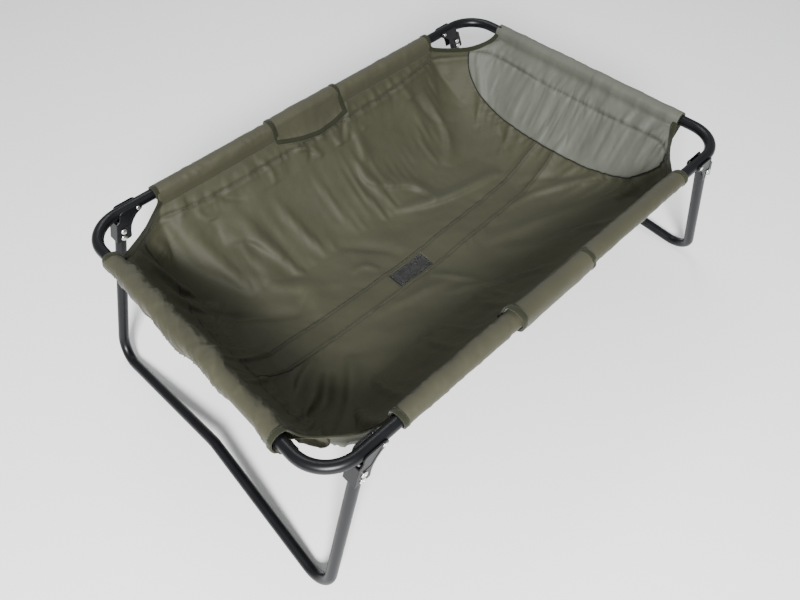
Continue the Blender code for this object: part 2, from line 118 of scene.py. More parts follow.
def new_object(name, verts, faces, mat=None, uv=None, smooth=True):
    """uv: one (u, v) per vertex, metres along the cloth."""
    mesh = bpy.data.meshes.new(name)
    mesh.from_pydata([tuple(v) for v in verts], [], [tuple(int(i) for i in f) for f in faces])
    mesh.update()
    if uv is not None:
        layer = mesh.uv_layers.new(name="UVMap")
        idx = np.zeros(len(mesh.loops), np.int64)
        mesh.loops.foreach_get("vertex_index", idx)
        layer.data.foreach_set("uv", np.asarray(uv, float)[idx].astype(np.float32).ravel())
    if smooth:
        mesh.shade_smooth()
    ob = bpy.data.objects.new(name, mesh)
    bpy.context.scene.collection.objects.link(ob)
    if mat:
        mesh.materials.append(mat)
    return ob


def grid_faces(n, m, wrap=False, keep=None):
    faces = []
    for i in range(n - 1):
        for j in range(m if wrap else m - 1):
            if keep is not None and not keep[i, j]:
                continue
            j2 = (j + 1) % m
            faces.append((i * m + j, (i + 1) * m + j, (i + 1) * m + j2, i * m + j2))
    return faces


def grid_uv(P):
    """Arc lengths along both ways of a grid of points, averaged."""
    du = np.linalg.norm(np.diff(P, axis=0), axis=2).mean(1)
    dv = np.linalg.norm(np.diff(P, axis=1), axis=2).mean(0)
    u, v = np.concatenate([[0], np.cumsum(du)]), np.concatenate([[0], np.cumsum(dv)])
    return np.stack(np.meshgrid(u, v, indexing="ij"), 2).reshape(-1, 2)


def grid_normals(P):
    a = np.gradient(P, axis=0)
    b = np.gradient(P, axis=1)
    n = np.cross(a, b)
    return n / np.maximum(np.linalg.norm(n, axis=2, keepdims=True), 1e-12)


def grid_object(name, P, mat, wrap=False, keep=None, uv=None):
    n, m = P.shape[:2]
    return new_object(name, P.reshape(-1, 3) + (0, 0, RZ), grid_faces(n, m, wrap, keep), mat,
                      grid_uv(P) if uv is None else uv)


def solid(ob, thickness, offset=-1.0, rim=True):
    so = ob.modifiers.new("thickness", "SOLIDIFY")
    so.thickness = thickness
    so.offset = offset
    so.use_even_offset = False
    so.use_rim = rim
    return ob


def frames_along(path):
    """Tangent, and two normals carried along without twist."""
    p = np.array(path, float)
    t = np.gradient(p, axis=0)
    t /= np.linalg.norm(t, axis=1, keepdims=True)
    n = np.zeros_like(p)
    ref = np.array([0, 0, 1.0]) if abs(t[0][2]) < 0.9 else np.array([0, 1.0, 0])
    n[0] = ref - t[0] * (ref @ t[0])
    n[0] /= np.linalg.norm(n[0])
    for i in range(1, len(p)):
        v = n[i - 1] - t[i] * (n[i - 1] @ t[i])
        n[i] = v / np.linalg.norm(v)
    return p, t, n, np.cross(t, n)


def tube_object(name, path, radius, mat, around=32, caps=False, uv_scale=1.0):
    p, t, a, b = frames_along(path)
    r = np.broadcast_to(np.asarray(radius, float), (len(p),))
    ang = np.linspace(0, math.tau, around, endpoint=False)
    P = (p[:, None] + r[:, None, None] * (np.cos(ang)[None, :, None] * a[:, None]
                                          + np.sin(ang)[None, :, None] * b[:, None]))
    faces = grid_faces(len(p), around, True)
    verts = P.reshape(-1, 3) + (0, 0, RZ)
    if caps:
        faces.append(tuple(range(around))[::-1])
        faces.append(tuple((len(p) - 1) * around + k for k in range(around)))
    s = arc(p)
    uv = np.stack([np.repeat(s, around), np.tile(ang * float(r.mean()), len(p))], 1)
    ob = new_object(name, verts, faces, mat, uv)
    bm = bmesh.new()
    bm.from_mesh(ob.data)
    bmesh.ops.recalc_face_normals(bm, faces=bm.faces)
    bm.to_mesh(ob.data)
    bm.free()
    ob.data.set_sharp_from_angle(angle=math.radians(50))
    return ob


def filleted(corners, radii, steps):
    pts = [Vector(corners[0])]
    for k in range(1, len(corners) - 1):
        p, a, b = Vector(corners[k]), Vector(corners[k - 1]), Vector(corners[k + 1])
        da, db = (a - p).normalized(), (b - p).normalized()
        half = da.angle(db) / 2
        run = radii[k] / math.tan(half)
        centre = p + (da + db).normalized() * (radii[k] / math.sin(half))
        u = (p + da * run - centre).normalized()
        w = (p + db * run - centre).normalized()
        turn = u.angle(w)
        for i in range(steps[k] + 1):
            t = turn * i / steps[k]
            pts.append(centre + (u * math.sin(turn - t) + w * math.sin(t)) / math.sin(turn)
                       * radii[k])
    pts.append(Vector(corners[-1]))
    return np.array([tuple(p) for p in pts])


def densify(path, step):
    p = np.array(path, float)
    out = [p[0]]
    for a, b in zip(p[:-1], p[1:]):
        n = max(1, int(round(np.linalg.norm(b - a) / step)))
        out += [a + (b - a) * k / n for k in range(1, n + 1)]
    return np.array(out)


# ------------------------------------------------------------------ materials
def nodes_of(name):
    m = bpy.data.materials.new(name)
    m.use_nodes = True
    nt = m.node_tree
    return m, nt, nt.nodes["Principled BSDF"]


def put(nt, kind, **values):
    n = nt.nodes.new(kind)
    for k, v in values.items():
        if k.startswith("_"):
            setattr(n, k[1:], v)
        else:
            n.inputs[k.replace("_", " ")].default_value = v
    return n


def ramp(nt, source, stops):
    r = nt.nodes.new("ShaderNodeValToRGB")
    while len(r.color_ramp.elements) < len(stops):
        r.color_ramp.elements.new(0.5)
    for e, (at, c) in zip(r.color_ramp.elements, stops):
        e.position = at
        e.color = (*c, 1.0) if len(c) == 3 else c
    nt.links.new(source, r.inputs["Fac"])
    return r


def srgb(r, g, b):
    return tuple(((c / 255 + 0.055) / 1.055) ** 2.4 if c > 10 else c / 255 / 12.92
                 for c in (r, g, b))


def cloth_material(name, colour, rough=0.62, weave=0.00052, sheen=0.08, vary=0.10,
                   weave_depth=0.35, ribs=False, specular=0.30):
    """Plain-weave nylon: crossed threads at real pitch, slub, faint tone changes and sheen."""
    m, nt, b = nodes_of(name)
    L = nt.links.new
    uv = put(nt, "ShaderNodeUVMap", _uv_map="UVMap")
    geo = put(nt, "ShaderNodeTexCoord")
    big = put(nt, "ShaderNodeTexNoise", Scale=9.0, Detail=3.0, Roughness=0.55)
    L(geo.outputs["Object"], big.inputs["Vector"])
    small = put(nt, "ShaderNodeTexNoise", Scale=420.0, Detail=2.0, Roughness=0.6)
    L(geo.outputs["Object"], small.inputs["Vector"])
    lo = tuple(c * (1 - vary) for c in colour)
    hi = tuple(min(1, c * (1 + vary)) for c in colour)
    tone = ramp(nt, big.outputs["Fac"], [(0.30, lo), (0.70, hi)])
    # crossed threads
    sep = put(nt, "ShaderNodeSeparateXYZ")
    L(uv.outputs["UV"], sep.inputs["Vector"])

    def threads(axis, pitch):
        mul = put(nt, "ShaderNodeMath", _operation="MULTIPLY")
        mul.inputs[1].default_value = math.tau / pitch
        L(sep.outputs[axis], mul.inputs[0])
        s = put(nt, "ShaderNodeMath", _operation="SINE")
        L(mul.outputs[0], s.inputs[0])
        return s

    sx = threads("X", weave * 2)
    sy = threads("Y", weave * 2 if not ribs else weave * 5)
    cross = put(nt, "ShaderNodeMath", _operation="MULTIPLY")
    L(sx.outputs[0], cross.inputs[0])
    L(sy.outputs[0], cross.inputs[1])
    height = put(nt, "ShaderNodeMath", _operation="MULTIPLY_ADD")
    height.inputs[1].default_value = 0.5
    height.inputs[2].default_value = 0.5
    L(cross.outputs[0], height.inputs[0])
    with_slub = put(nt, "ShaderNodeMath", _operation="ADD")
    L(height.outputs[0], with_slub.inputs[0])
    L(small.outputs["Fac"], with_slub.inputs[1])
    dark = ramp(nt, height.outputs[0], [(0.0, (0.80, 0.80, 0.80)), (1.0, (1.0, 1.0, 1.0))])
    mixc = nt.nodes.new("ShaderNodeMix")
    mixc.data_type = "RGBA"
    mixc.blend_type = "MULTIPLY"
    mixc.inputs["Factor"].default_value = 0.7
    L(tone.outputs["Color"], mixc.inputs[6])
    L(dark.outputs["Color"], mixc.inputs[7])
    # Painted shade: a per-vertex attribute darkens the colour down to 0.45 along sewn lines; a little of
    # it is the stitching's darker tone, most is painted shade in the seam grooves and along the strip's
    # raised edge.
    seam = put(nt, "ShaderNodeAttribute", _attribute_name="stitch_and_seam_shade")
    shade = ramp(nt, seam.outputs["Fac"], [(0.0, (1.0, 1.0, 1.0)), (1.0, (0.45, 0.45, 0.45))])
    mixs = nt.nodes.new("ShaderNodeMix")
    mixs.data_type = "RGBA"
    mixs.blend_type = "MULTIPLY"
    mixs.inputs["Factor"].default_value = 1.0
    L(mixc.outputs[2], mixs.inputs[6])
    L(shade.outputs["Color"], mixs.inputs[7])
    L(mixs.outputs[2], b.inputs["Base Color"])
    rr = put(nt, "ShaderNodeMapRange")
    rr.inputs["To Min"].default_value = rough - 0.06
    rr.inputs["To Max"].default_value = rough + 0.08
    L(big.outputs["Fac"], rr.inputs["Value"])
    L(rr.outputs[0], b.inputs["Roughness"])
    b.inputs["Specular IOR Level"].default_value = specular
    b.inputs["Sheen Weight"].default_value = sheen
    b.inputs["Sheen Roughness"].default_value = 0.45
    b.inputs["Sheen Tint"].default_value = (0.85, 0.87, 0.80, 1.0)
    fine = put(nt, "ShaderNodeBump", Strength=weave_depth, Distance=0.0002)
    L(with_slub.outputs[0], fine.inputs["Height"])
    crump = put(nt, "ShaderNodeTexNoise", Scale=46.0, Detail=4.0, Roughness=0.6)
    L(geo.outputs["Object"], crump.inputs["Vector"])
    soft = put(nt, "ShaderNodeBump", Strength=0.30, Distance=0.0016)
    L(crump.outputs["Fac"], soft.inputs["Height"])
    L(fine.outputs["Normal"], soft.inputs["Normal"])
    L(soft.outputs["Normal"], b.inputs["Normal"])
    m.diffuse_color = (*colour, 1)
    return m


def paint_material(name, colour, rough, coat=0.35):
    """Powder coat: soft gloss, fine orange peel, faint rub marks."""
    m, nt, b = nodes_of(name)
    L = nt.links.new
    geo = put(nt, "ShaderNodeTexCoord")
    peel = put(nt, "ShaderNodeTexNoise", Scale=900.0, Detail=2.0, Roughness=0.5)
    L(geo.outputs["Object"], peel.inputs["Vector"])
    wide = put(nt, "ShaderNodeTexNoise", Scale=22.0, Detail=4.0, Roughness=0.6)
    L(geo.outputs["Object"], wide.inputs["Vector"])
    tone = ramp(nt, wide.outputs["Fac"], [(0.3, tuple(c * 0.8 for c in colour)),
                                         (0.75, tuple(c * 1.35 for c in colour))])
    L(tone.outputs["Color"], b.inputs["Base Color"])
    rr = put(nt, "ShaderNodeMapRange")
    rr.inputs["To Min"].default_value = rough - 0.05
    rr.inputs["To Max"].default_value = rough + 0.09
    L(wide.outputs["Fac"], rr.inputs["Value"])
    L(rr.outputs[0], b.inputs["Roughness"])
    bump = put(nt, "ShaderNodeBump", Strength=0.22, Distance=0.0001)
    L(peel.outputs["Fac"], bump.inputs["Height"])
    L(bump.outputs["Normal"], b.inputs["Normal"])
    b.inputs["Specular IOR Level"].default_value = 0.24
    b.inputs["Coat Weight"].default_value = coat
    b.inputs["Coat Roughness"].default_value = 0.28
    m.diffuse_color = (*colour, 1)
    return m


def metal_material(name, colour, rough):
    m, nt, b = nodes_of(name)
    L = nt.links.new
    geo = put(nt, "ShaderNodeTexCoord")
    n = put(nt, "ShaderNodeTexNoise", Scale=700.0, Detail=3.0, Roughness=0.6)
    L(geo.outputs["Object"], n.inputs["Vector"])
    tone = ramp(nt, n.outputs["Fac"], [(0.3, tuple(c * 0.82 for c in colour)), (0.7, colour)])
    L(tone.outputs["Color"], b.inputs["Base Color"])
    rr = put(nt, "ShaderNodeMapRange")
    rr.inputs["To Min"].default_value = rough - 0.06
    rr.inputs["To Max"].default_value = rough + 0.12
    L(n.outputs["Fac"], rr.inputs["Value"])
    L(rr.outputs[0], b.inputs["Roughness"])
    bump = put(nt, "ShaderNodeBump", Strength=0.15, Distance=0.0001)
    L(n.outputs["Fac"], bump.inputs["Height"])
    L(bump.outputs["Normal"], b.inputs["Normal"])
    b.inputs["Metallic"].default_value = 1.0
    m.diffuse_color = (*colour, 1)
    return m


FRAME_PAINT = paint_material("frame_black", (0.0030, 0.0033, 0.0040), 0.33, 0.0)
LEG_PAINT = paint_material("leg_black", (0.0030, 0.0033, 0.0042), 0.35, 0.0)
BRACKET_PAINT = paint_material("bracket_black", (0.0032, 0.0034, 0.0040), 0.40, 0.0)
ZINC = metal_material("zinc_plate", (0.74, 0.74, 0.72), 0.27)
STEEL = metal_material("bare_steel", (0.36, 0.36, 0.37), 0.42)
C_SLING = srgb(53, 53, 38)
C_SLEEVE = srgb(56, 55, 41)
C_PAD = srgb(80, 82, 74)
C_TAPE = srgb(31, 33, 19)
SLING_M = cloth_material("sling_nylon", C_SLING, 0.64)
SLEEVE_M = cloth_material("sleeve_nylon", C_SLEEVE, 0.62, sheen=0.10)
PAD_M = cloth_material("head_pad_nylon", C_PAD, 0.60, sheen=0.10)
STRIP_M = cloth_material("strip_nylon", srgb(51, 51, 36), 0.64)
GRIP_M = cloth_material("grip_nylon", C_SLEEVE, 0.62, sheen=0.10)
TAPE_M = cloth_material("binding_tape", C_TAPE, 0.80, weave=0.0006, sheen=0.15,
                        weave_depth=0.8, ribs=True, specular=0.2)
THREAD_M = cloth_material("thread", srgb(44, 45, 31), 0.6, weave=0.0003, sheen=0.3)
NET_M = cloth_material("net_cord", srgb(8, 8, 8), 0.7, weave=0.0004, sheen=0.1)

# ------------------------------------------------------------------ frame and legs
rail = {}
for end, sx in (("left", -1), ("right", 1)):
    path = filleted([(sx * 0.00015, -HY, 0), (sx * HX, -HY, 0), (sx * HX, HY, 0),
                     (sx * 0.00015, HY, 0)], [0, CORNER_R, CORNER_R, 0], [0, 22, 22, 0])
    ob = tube_object(f"rail_tube_{end}", densify(path, 0.012), TUBE_R, FRAME_PAINT, 36)
    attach(ob, "root")
    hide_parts(f"frame_bow_{end}")
    rail[end] = ob

LEAN = (LEG_IN + FOOT_OUT) / FOOT_DROP
SPLAY = FOOT_SPLAY / (FOOT_DROP - LEG_Y_TRUE)


def leg_x(drop):
    return HX - LEG_IN + LEAN * drop


def leg_y(drop):
    return HY + SPLAY * (drop - LEG_Y_TRUE)


for end, sx in (("left", -1), ("right", 1)):
    mid = FOOT_DROP - ARCH
    corners = [
        (sx * leg_x(LEG_TOP), leg_y(LEG_TOP), -LEG_TOP),
        (sx * leg_x(FOOT_DROP), leg_y(FOOT_DROP), -FOOT_DROP),
        (sx * leg_x(mid), 0, -mid),
        (sx * leg_x(FOOT_DROP), -leg_y(FOOT_DROP), -FOOT_DROP),
        (sx * leg_x(LEG_TOP), -leg_y(LEG_TOP), -LEG_TOP),
    ]
    path = filleted(corners, [0, FOOT_R, ARCH_R, FOOT_R, 0], [0, 18, 10, 18, 0])
    ob = tube_object(f"leg_bow_{end}", densify(path, 0.015), TUBE_R, LEG_PAINT, 36)
    so = solid(ob, 0.0012)
    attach(ob, f"leg_{end}")
    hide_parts(f"leg_tube_{end}")


# ------------------------------------------------------------------ rivets
def turned(name, profile, mat, at, around=40):
    """Profile (radius, y) turned round an axis along Y."""
    ang = np.linspace(0, math.tau, around, endpoint=False)
    pr = np.array(profile, float)
    P = np.stack([pr[:, None, 0] * np.cos(ang), np.repeat(pr[:, 1:2], around, 1),
                  pr[:, None, 0] * np.sin(ang)], 2) + np.array(at)
    faces = grid_faces(len(pr), around, True)
    faces.append(tuple(range(around)))
    faces.append(tuple((len(pr) - 1) * around + k for k in range(around))[::-1])
    uv = np.stack([np.repeat(pr[:, 1], around), np.tile(ang * 0.005, len(pr))], 1)
    ob = new_object(name, P.reshape(-1, 3) + (0, 0, RZ), faces, mat, uv)
    bm = bmesh.new()
    bm.from_mesh(ob.data)
    bmesh.ops.recalc_face_normals(bm, faces=bm.faces)
    bm.to_mesh(ob.data)
    bm.free()
    ob.data.set_sharp_from_angle(angle=math.radians(38))
    return ob


def rivet(head, rise, shank, grip, dimple, flip):
    g = grip / 2 + 0.0003
    dome = [(head * math.sin(a), g + rise * (0.30 + 0.70 * math.cos(a)))
            for a in np.linspace(0.30, math.pi / 2, 9)]
    prof = [(dimple * 0.35, g + rise * 0.55), (dimple * 0.8, g + rise * 0.60),
            (dimple, g + rise * 0.93)] + dome + [(head * 0.985, g + 0.0001), (shank, g)]
    prof += [(shank, -g), (head * 0.86, -g - 0.0001), (head * 0.92, -g - rise * 0.35),
             (head * 0.80, -g - rise * 0.75), (head * 0.55, -g - rise * 0.95),
             (head * 0.2, -g - rise)]
    return [(r, z * flip) for r, z in prof]


PLATE_OUT = 0.0130
for end, sx in (("left", -1), ("right", 1)):
    for side, sy in (("near", -1), ("far", 1)):
        tag = f"{side}_{end}"
        spots = [(f"pivot_rivet_{tag}", HX - PIVOT_IN, 0.0, 0.0040, 0.0019, 0.0026, 0.0016),
                 (f"leg_rivet_upper_{tag}", leg_x(0.0320), -0.0320, 0.0057, 0.0026, 0.0032,
                  0.0020),
                 (f"leg_rivet_lower_{tag}", leg_x(0.0445), -0.0445, 0.0057, 0.0026, 0.0032,
                  0.0020)]
        for name, x, z, head, rise, shank, dimple in spots:
            ob = turned(name + "_head", rivet(head, rise, shank, 2 * PLATE_OUT, dimple, sy),
                        ZINC, (sx * x, sy * HY, z))
            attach(ob, f"leg_{end}")
            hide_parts(name)
        # painted shade: a black disc set in the hollow pivot rivet's dimple stands for the shade in its
        # hole
        hole_shade = turned(f"pivot_hole_shade_{tag}", [(0.0004, sy * (PLATE_OUT + 0.00150)),
                                          (0.00125, sy * (PLATE_OUT + 0.00152)),
                                          (0.00125, sy * (PLATE_OUT + 0.00060)),
                                          (0.0004, sy * (PLATE_OUT + 0.00058))],
                     BRACKET_PAINT, (sx * (HX - PIVOT_IN), sy * HY, 0), 20)
        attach(hole_shade, f"leg_{end}")
        # folded and pressed edges on the bracket
        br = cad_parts[f"hinge_bracket_{tag}"]
        w = br.modifiers.new("weld", "WELD")
        w.merge_threshold = 0.00002
        bv = br.modifiers.new("pressed_edges", "BEVEL")
        bv.width = 0.0009
        bv.segments = 3
        bv.limit_method = "ANGLE"
        bv.angle_limit = math.radians(38)
        bv.use_clamp_overlap = True
        bv.harden_normals = False
        br.data.materials.clear()
        br.data.materials.append(BRACKET_PAINT)

for n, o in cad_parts.items():
    if n.startswith("rail_spigot"):
        o.data.materials.clear()
        o.data.materials.append(STEEL)
    elif n.startswith("spigot_pin"):
        o.data.materials.clear()
        o.data.materials.append(ZINC)

# ------------------------------------------------------------------ trough surface
LIFT = {}                      # object name -> lift weight per vertex, for folded legs


def row_values(sx, q):
    """Row from the middle (q 0) through the last of the straight part (q 1) to the seam (q 2)."""
    seam_x, seam_h, sleeve_end = ((0.428, 0.165, -SLEEVE_NEG) if sx < 0
                                  else (0.402, 0.150, SLEEVE_POS))
    cx, cy, cz = CUT_LEFT if sx < 0 else CUT_RIGHT
    k = np.minimum(q, 1.0)
    k2 = np.clip(q - 1.0, 0, 1)
    xc = seam_x * (0.925 * k + 0.075 * k2)
    xr = k * sleeve_end + (cx - sleeve_end) * k2
    yr = SLING_Y + (cy - SLING_Y) * (0.85 * k2 + 0.15 * k2**2)
    zr = RIM + (cz - RIM) * np.sin(math.pi * k2 / 2)
    depth = DEPTH_MID - (DEPTH_MID - seam_h) * (xc / seam_x) ** 2
    return sx * xc, sx * xr, yr, zr, depth


def floor_grid(rows, v):
    xc, xr, yr, zr, depth = (r[:, None] for r in rows)
    a = np.abs(v)[None, :] * math.pi / 2
    s, c = np.sin(a) ** POWER, np.maximum(np.cos(a), 0.0) ** POWER
    blend = np.abs(v)[None, :] ** 3
    return np.stack([xc + (xr - xc) * blend, np.sign(v)[None, :] * yr * s,
                     zr - (depth + zr) * c], 2)


# across: columns evenly spaced along the cloth
fine_v = np.linspace(-1, 1, 4001)
mid = floor_grid([np.array([x]) for x in (0, 0, SLING_Y, RIM, DEPTH_MID)], fine_v)[0]
s_mid = arc(mid)
NV = 221
V = np.interp(np.linspace(0, s_mid[-1], NV), s_mid, fine_v)
V[NV // 2] = 0.0


def v_of(y):
    return math.asin((y / SLING_Y) ** (1 / POWER)) / (math.pi / 2)


for y in (MESH_Y, STRIP_Y):
    for sgn in (-1, 1):
        V[np.argmin(np.abs(V - sgn * v_of(y)))] = sgn * v_of(y)
qs = np.concatenate([np.linspace(0, 1, 88)[1:], 1 + np.linspace(0, 1, 14)[1:]])
q_l, q_r = qs.copy(), qs.copy()
q_l[np.argmin(np.abs(q_l - -MESH_X[0] / (0.428 * 0.925)))] = -MESH_X[0] / (0.428 * 0.925)
q_r[np.argmin(np.abs(q_r - MESH_X[1] / (0.402 * 0.925)))] = MESH_X[1] / (0.402 * 0.925)
rows_l = [np.asarray(r, float) + np.zeros(len(q_l)) for r in row_values(-1, q_l[::-1])]
rows_0 = [np.array([float(r)]) for r in row_values(1, np.array(0.0))]
rows_r = [np.asarray(r, float) + np.zeros(len(q_r)) for r in row_values(1, q_r)]
ROWS = [np.concatenate([a, b, c]) for a, b, c in zip(rows_l, rows_0, rows_r)]
body = floor_grid(ROWS, V)
n_end = 44
T = np.linspace(0, 1, n_end + 1)[1:]


def end_grid(sx, seam):
    rim = np.stack([np.full(NV, sx * SLING_X), END_Y * V, np.full(NV, RIM)], 1)
    P = seam[None] + (rim - seam)[None] * T[:, None, None]
    P[:, :, 2] -= 0.010 * np.sin(math.pi * T)[:, None] * (1 - np.abs(V) ** 2)[None]
    return P


left_end = end_grid(-1, body[0])[::-1]
right_end = end_grid(1, body[-1])
G = np.concatenate([left_end, body, right_end], 0)
NR = G.shape[0]
SEAM_L, SEAM_R = n_end, n_end + body.shape[0] - 1
base = G.copy()
N0 = grid_normals(G)
X, Y, Z = G[:, :, 0], G[:, :, 1], G[:, :, 2]
U_ARC = np.concatenate([[0], np.cumsum(np.linalg.norm(np.diff(G, axis=0), axis=2).mean(1))])
V_ARC = np.linspace(0, s_mid[-1], NV) - s_mid[-1] / 2
UU, VV = np.meshgrid(U_ARC - U_ARC[-1] / 2, V_ARC, indexing="ij")
row_i = np.arange(NR)[:, None] + 0 * VV
EDGE = np.minimum(1, np.minimum((1 - np.abs(V))[None, :] / 0.10,
                                np.minimum(row_i, NR - 1 - row_i) / 6.0))
EDGE = np.clip(EDGE, 0, 1)


def dist_line(px, py, line):
    """Distance to a polyline and how far along it, 0..1."""
    best = np.full(px.shape, 1e9)
    where = np.zeros(px.shape)
    line = np.array(line, float)
    s = arc(line)
    for k in range(len(line) - 1):
        a, b = line[k], line[k + 1]
        d = b - a
        t = np.clip(((px - a[0]) * d[0] + (py - a[1]) * d[1]) / (d @ d), 0, 1)
        dx, dy = px - a[0] - t * d[0], py - a[1] - t * d[1]
        r = np.hypot(dx, dy)
        side = np.sign(d[0] * (py - a[1]) - d[1] * (px - a[0]))
        hit = r < np.abs(best)
        best = np.where(hit, r * np.where(side == 0, 1, side), best)
        where = np.where(hit, (s[k] + t * (s[k + 1] - s[k])) / s[-1], where)
    return best, where


def crease(line, height, width, sharp=0.35):
    """A soft fold along a line in plan: a gentle rise on one side, a tighter turn on the other."""
    smooth_line = catmull(line, 40)
    d, t = dist_line(X, Y, smooth_line)
    w = np.where(d > 0, width, width * sharp)
    fade = np.sin(math.pi * np.clip(t, 0.0, 1.0)) ** 0.6
    return height * fade * np.exp(-((d / w) ** 2))


H = np.zeros_like(X)
# broad soft slack of the floor
H += 0.0045 * fbm(X / 0.15, Y / 0.11, 3, 2) + 0.0010 * fbm(X / 0.05 + 9, Y / 0.05, 11, 3)
# soft folds that lie across the floor: a line in plan, height, width, share of the width on
# the other side
FOLDS = [
    ([(-0.290, 0.262), (-0.242, 0.246), (-0.221, 0.218), (-0.206, 0.180)], 0.0075, 0.024, 0.35),
    ([(-0.221, 0.215), (-0.245, 0.184), (-0.254, 0.152), (-0.236, 0.127), (-0.214, 0.106),
      (-0.218, 0.069), (-0.223, 0.030)], 0.0060, 0.034, 0.45),
    ([(-0.352, 0.300), (-0.342, 0.276), (-0.334, 0.247), (-0.300, 0.205), (-0.277, 0.149),
      (-0.246, 0.077)], 0.0085, 0.040, 0.6),
    ([(-0.440, 0.170), (-0.397, 0.158), (-0.359, 0.134), (-0.300, 0.095), (-0.250, 0.062)],
     -0.0045, 0.012, 0.8),
    ([(-0.430, 0.075), (-0.391, 0.073), (-0.350, 0.046)], -0.0032, 0.010, 0.8),
    ([(-0.440, 0.205), (-0.399, 0.195), (-0.362, 0.172)], -0.0030, 0.009, 0.8),
    ([(0.055, 0.262), (0.049, 0.222), (0.085, 0.190), (0.132, 0.161), (0.147, 0.127),
      (0.145, 0.092)], 0.0062, 0.016, 0.35),
    ([(0.050, 0.148), (0.120, 0.106), (0.184, 0.080), (0.252, 0.062), (0.312, 0.048)],
     0.0075, 0.020, 0.30),
    ([(-0.100, 0.150), (-0.055, 0.111), (-0.023, 0.075), (-0.006, 0.034)], -0.0038, 0.014, 0.7),
    ([(-0.116, 0.074), (-0.084, 0.069), (-0.068, 0.040)], 0.0028, 0.010, 0.4),
    ([(0.256, 0.300), (0.262, 0.285), (0.274, 0.258), (0.287, 0.228)], -0.0040, 0.011, 0.7),
    ([(0.306, 0.224), (0.269, 0.177), (0.232, 0.150)], 0.0055, 0.018, 0.5),
    ([(0.386, 0.130), (0.359, 0.091), (0.342, 0.055)], -0.0032, 0.010, 0.7),
    ([(0.074, 0.303), (0.080, 0.285), (0.071, 0.250)], 0.0042, 0.015, 0.5),
    ([(-0.030, -0.090), (0.034, -0.138), (0.090, -0.190), (0.130, -0.250)], 0.0050, 0.015, 0.4),
    ([(-0.008, -0.032), (0.017, -0.073), (0.050, -0.128)], 0.0035, 0.012, 0.5),
    ([(0.239, -0.030), (0.303, -0.050), (0.350, -0.090), (0.392, -0.150), (0.412, -0.225)],
     0.0065, 0.013, 0.45),
    ([(0.128, -0.055), (0.188, -0.085), (0.269, -0.121), (0.344, -0.180), (0.392, -0.250)],
     0.0060, 0.020, 0.6),
    ([(0.130, -0.080), (0.175, -0.142), (0.234, -0.200), (0.285, -0.250)], 0.0052, 0.022, 0.6),
    ([(-0.200, -0.165), (-0.066, -0.196), (0.030, -0.232)], 0.0045, 0.030, 0.8),
    ([(0.300, 0.000), (0.350, -0.050), (0.398, -0.143)], -0.0036, 0.010, 0.7),
    ([(-0.300, -0.036), (-0.350, -0.060), (-0.412, -0.110)], 0.0060, 0.015, 0.5),
    ([(-0.300, -0.072), (-0.346, -0.116), (-0.382, -0.134), (-0.415, -0.150)], -0.0085, 0.014, 0.6),
    ([(-0.250, -0.075), (-0.295, -0.131), (-0.345, -0.180), (-0.390, -0.215)], 0.0062, 0.018, 0.5),
    ([(-0.160, -0.036), (-0.050, -0.062), (0.030, -0.085)], 0.0030, 0.016, 0.6),
    ([(-0.330, -0.200), (-0.355, -0.240), (-0.380, -0.270)], 0.0050, 0.015, 0.5),
]
for line, height, width, other in FOLDS:
    H += 0.50 * crease(line, height, width, other)
G = G + N0 * (H * EDGE)[:, :, None]


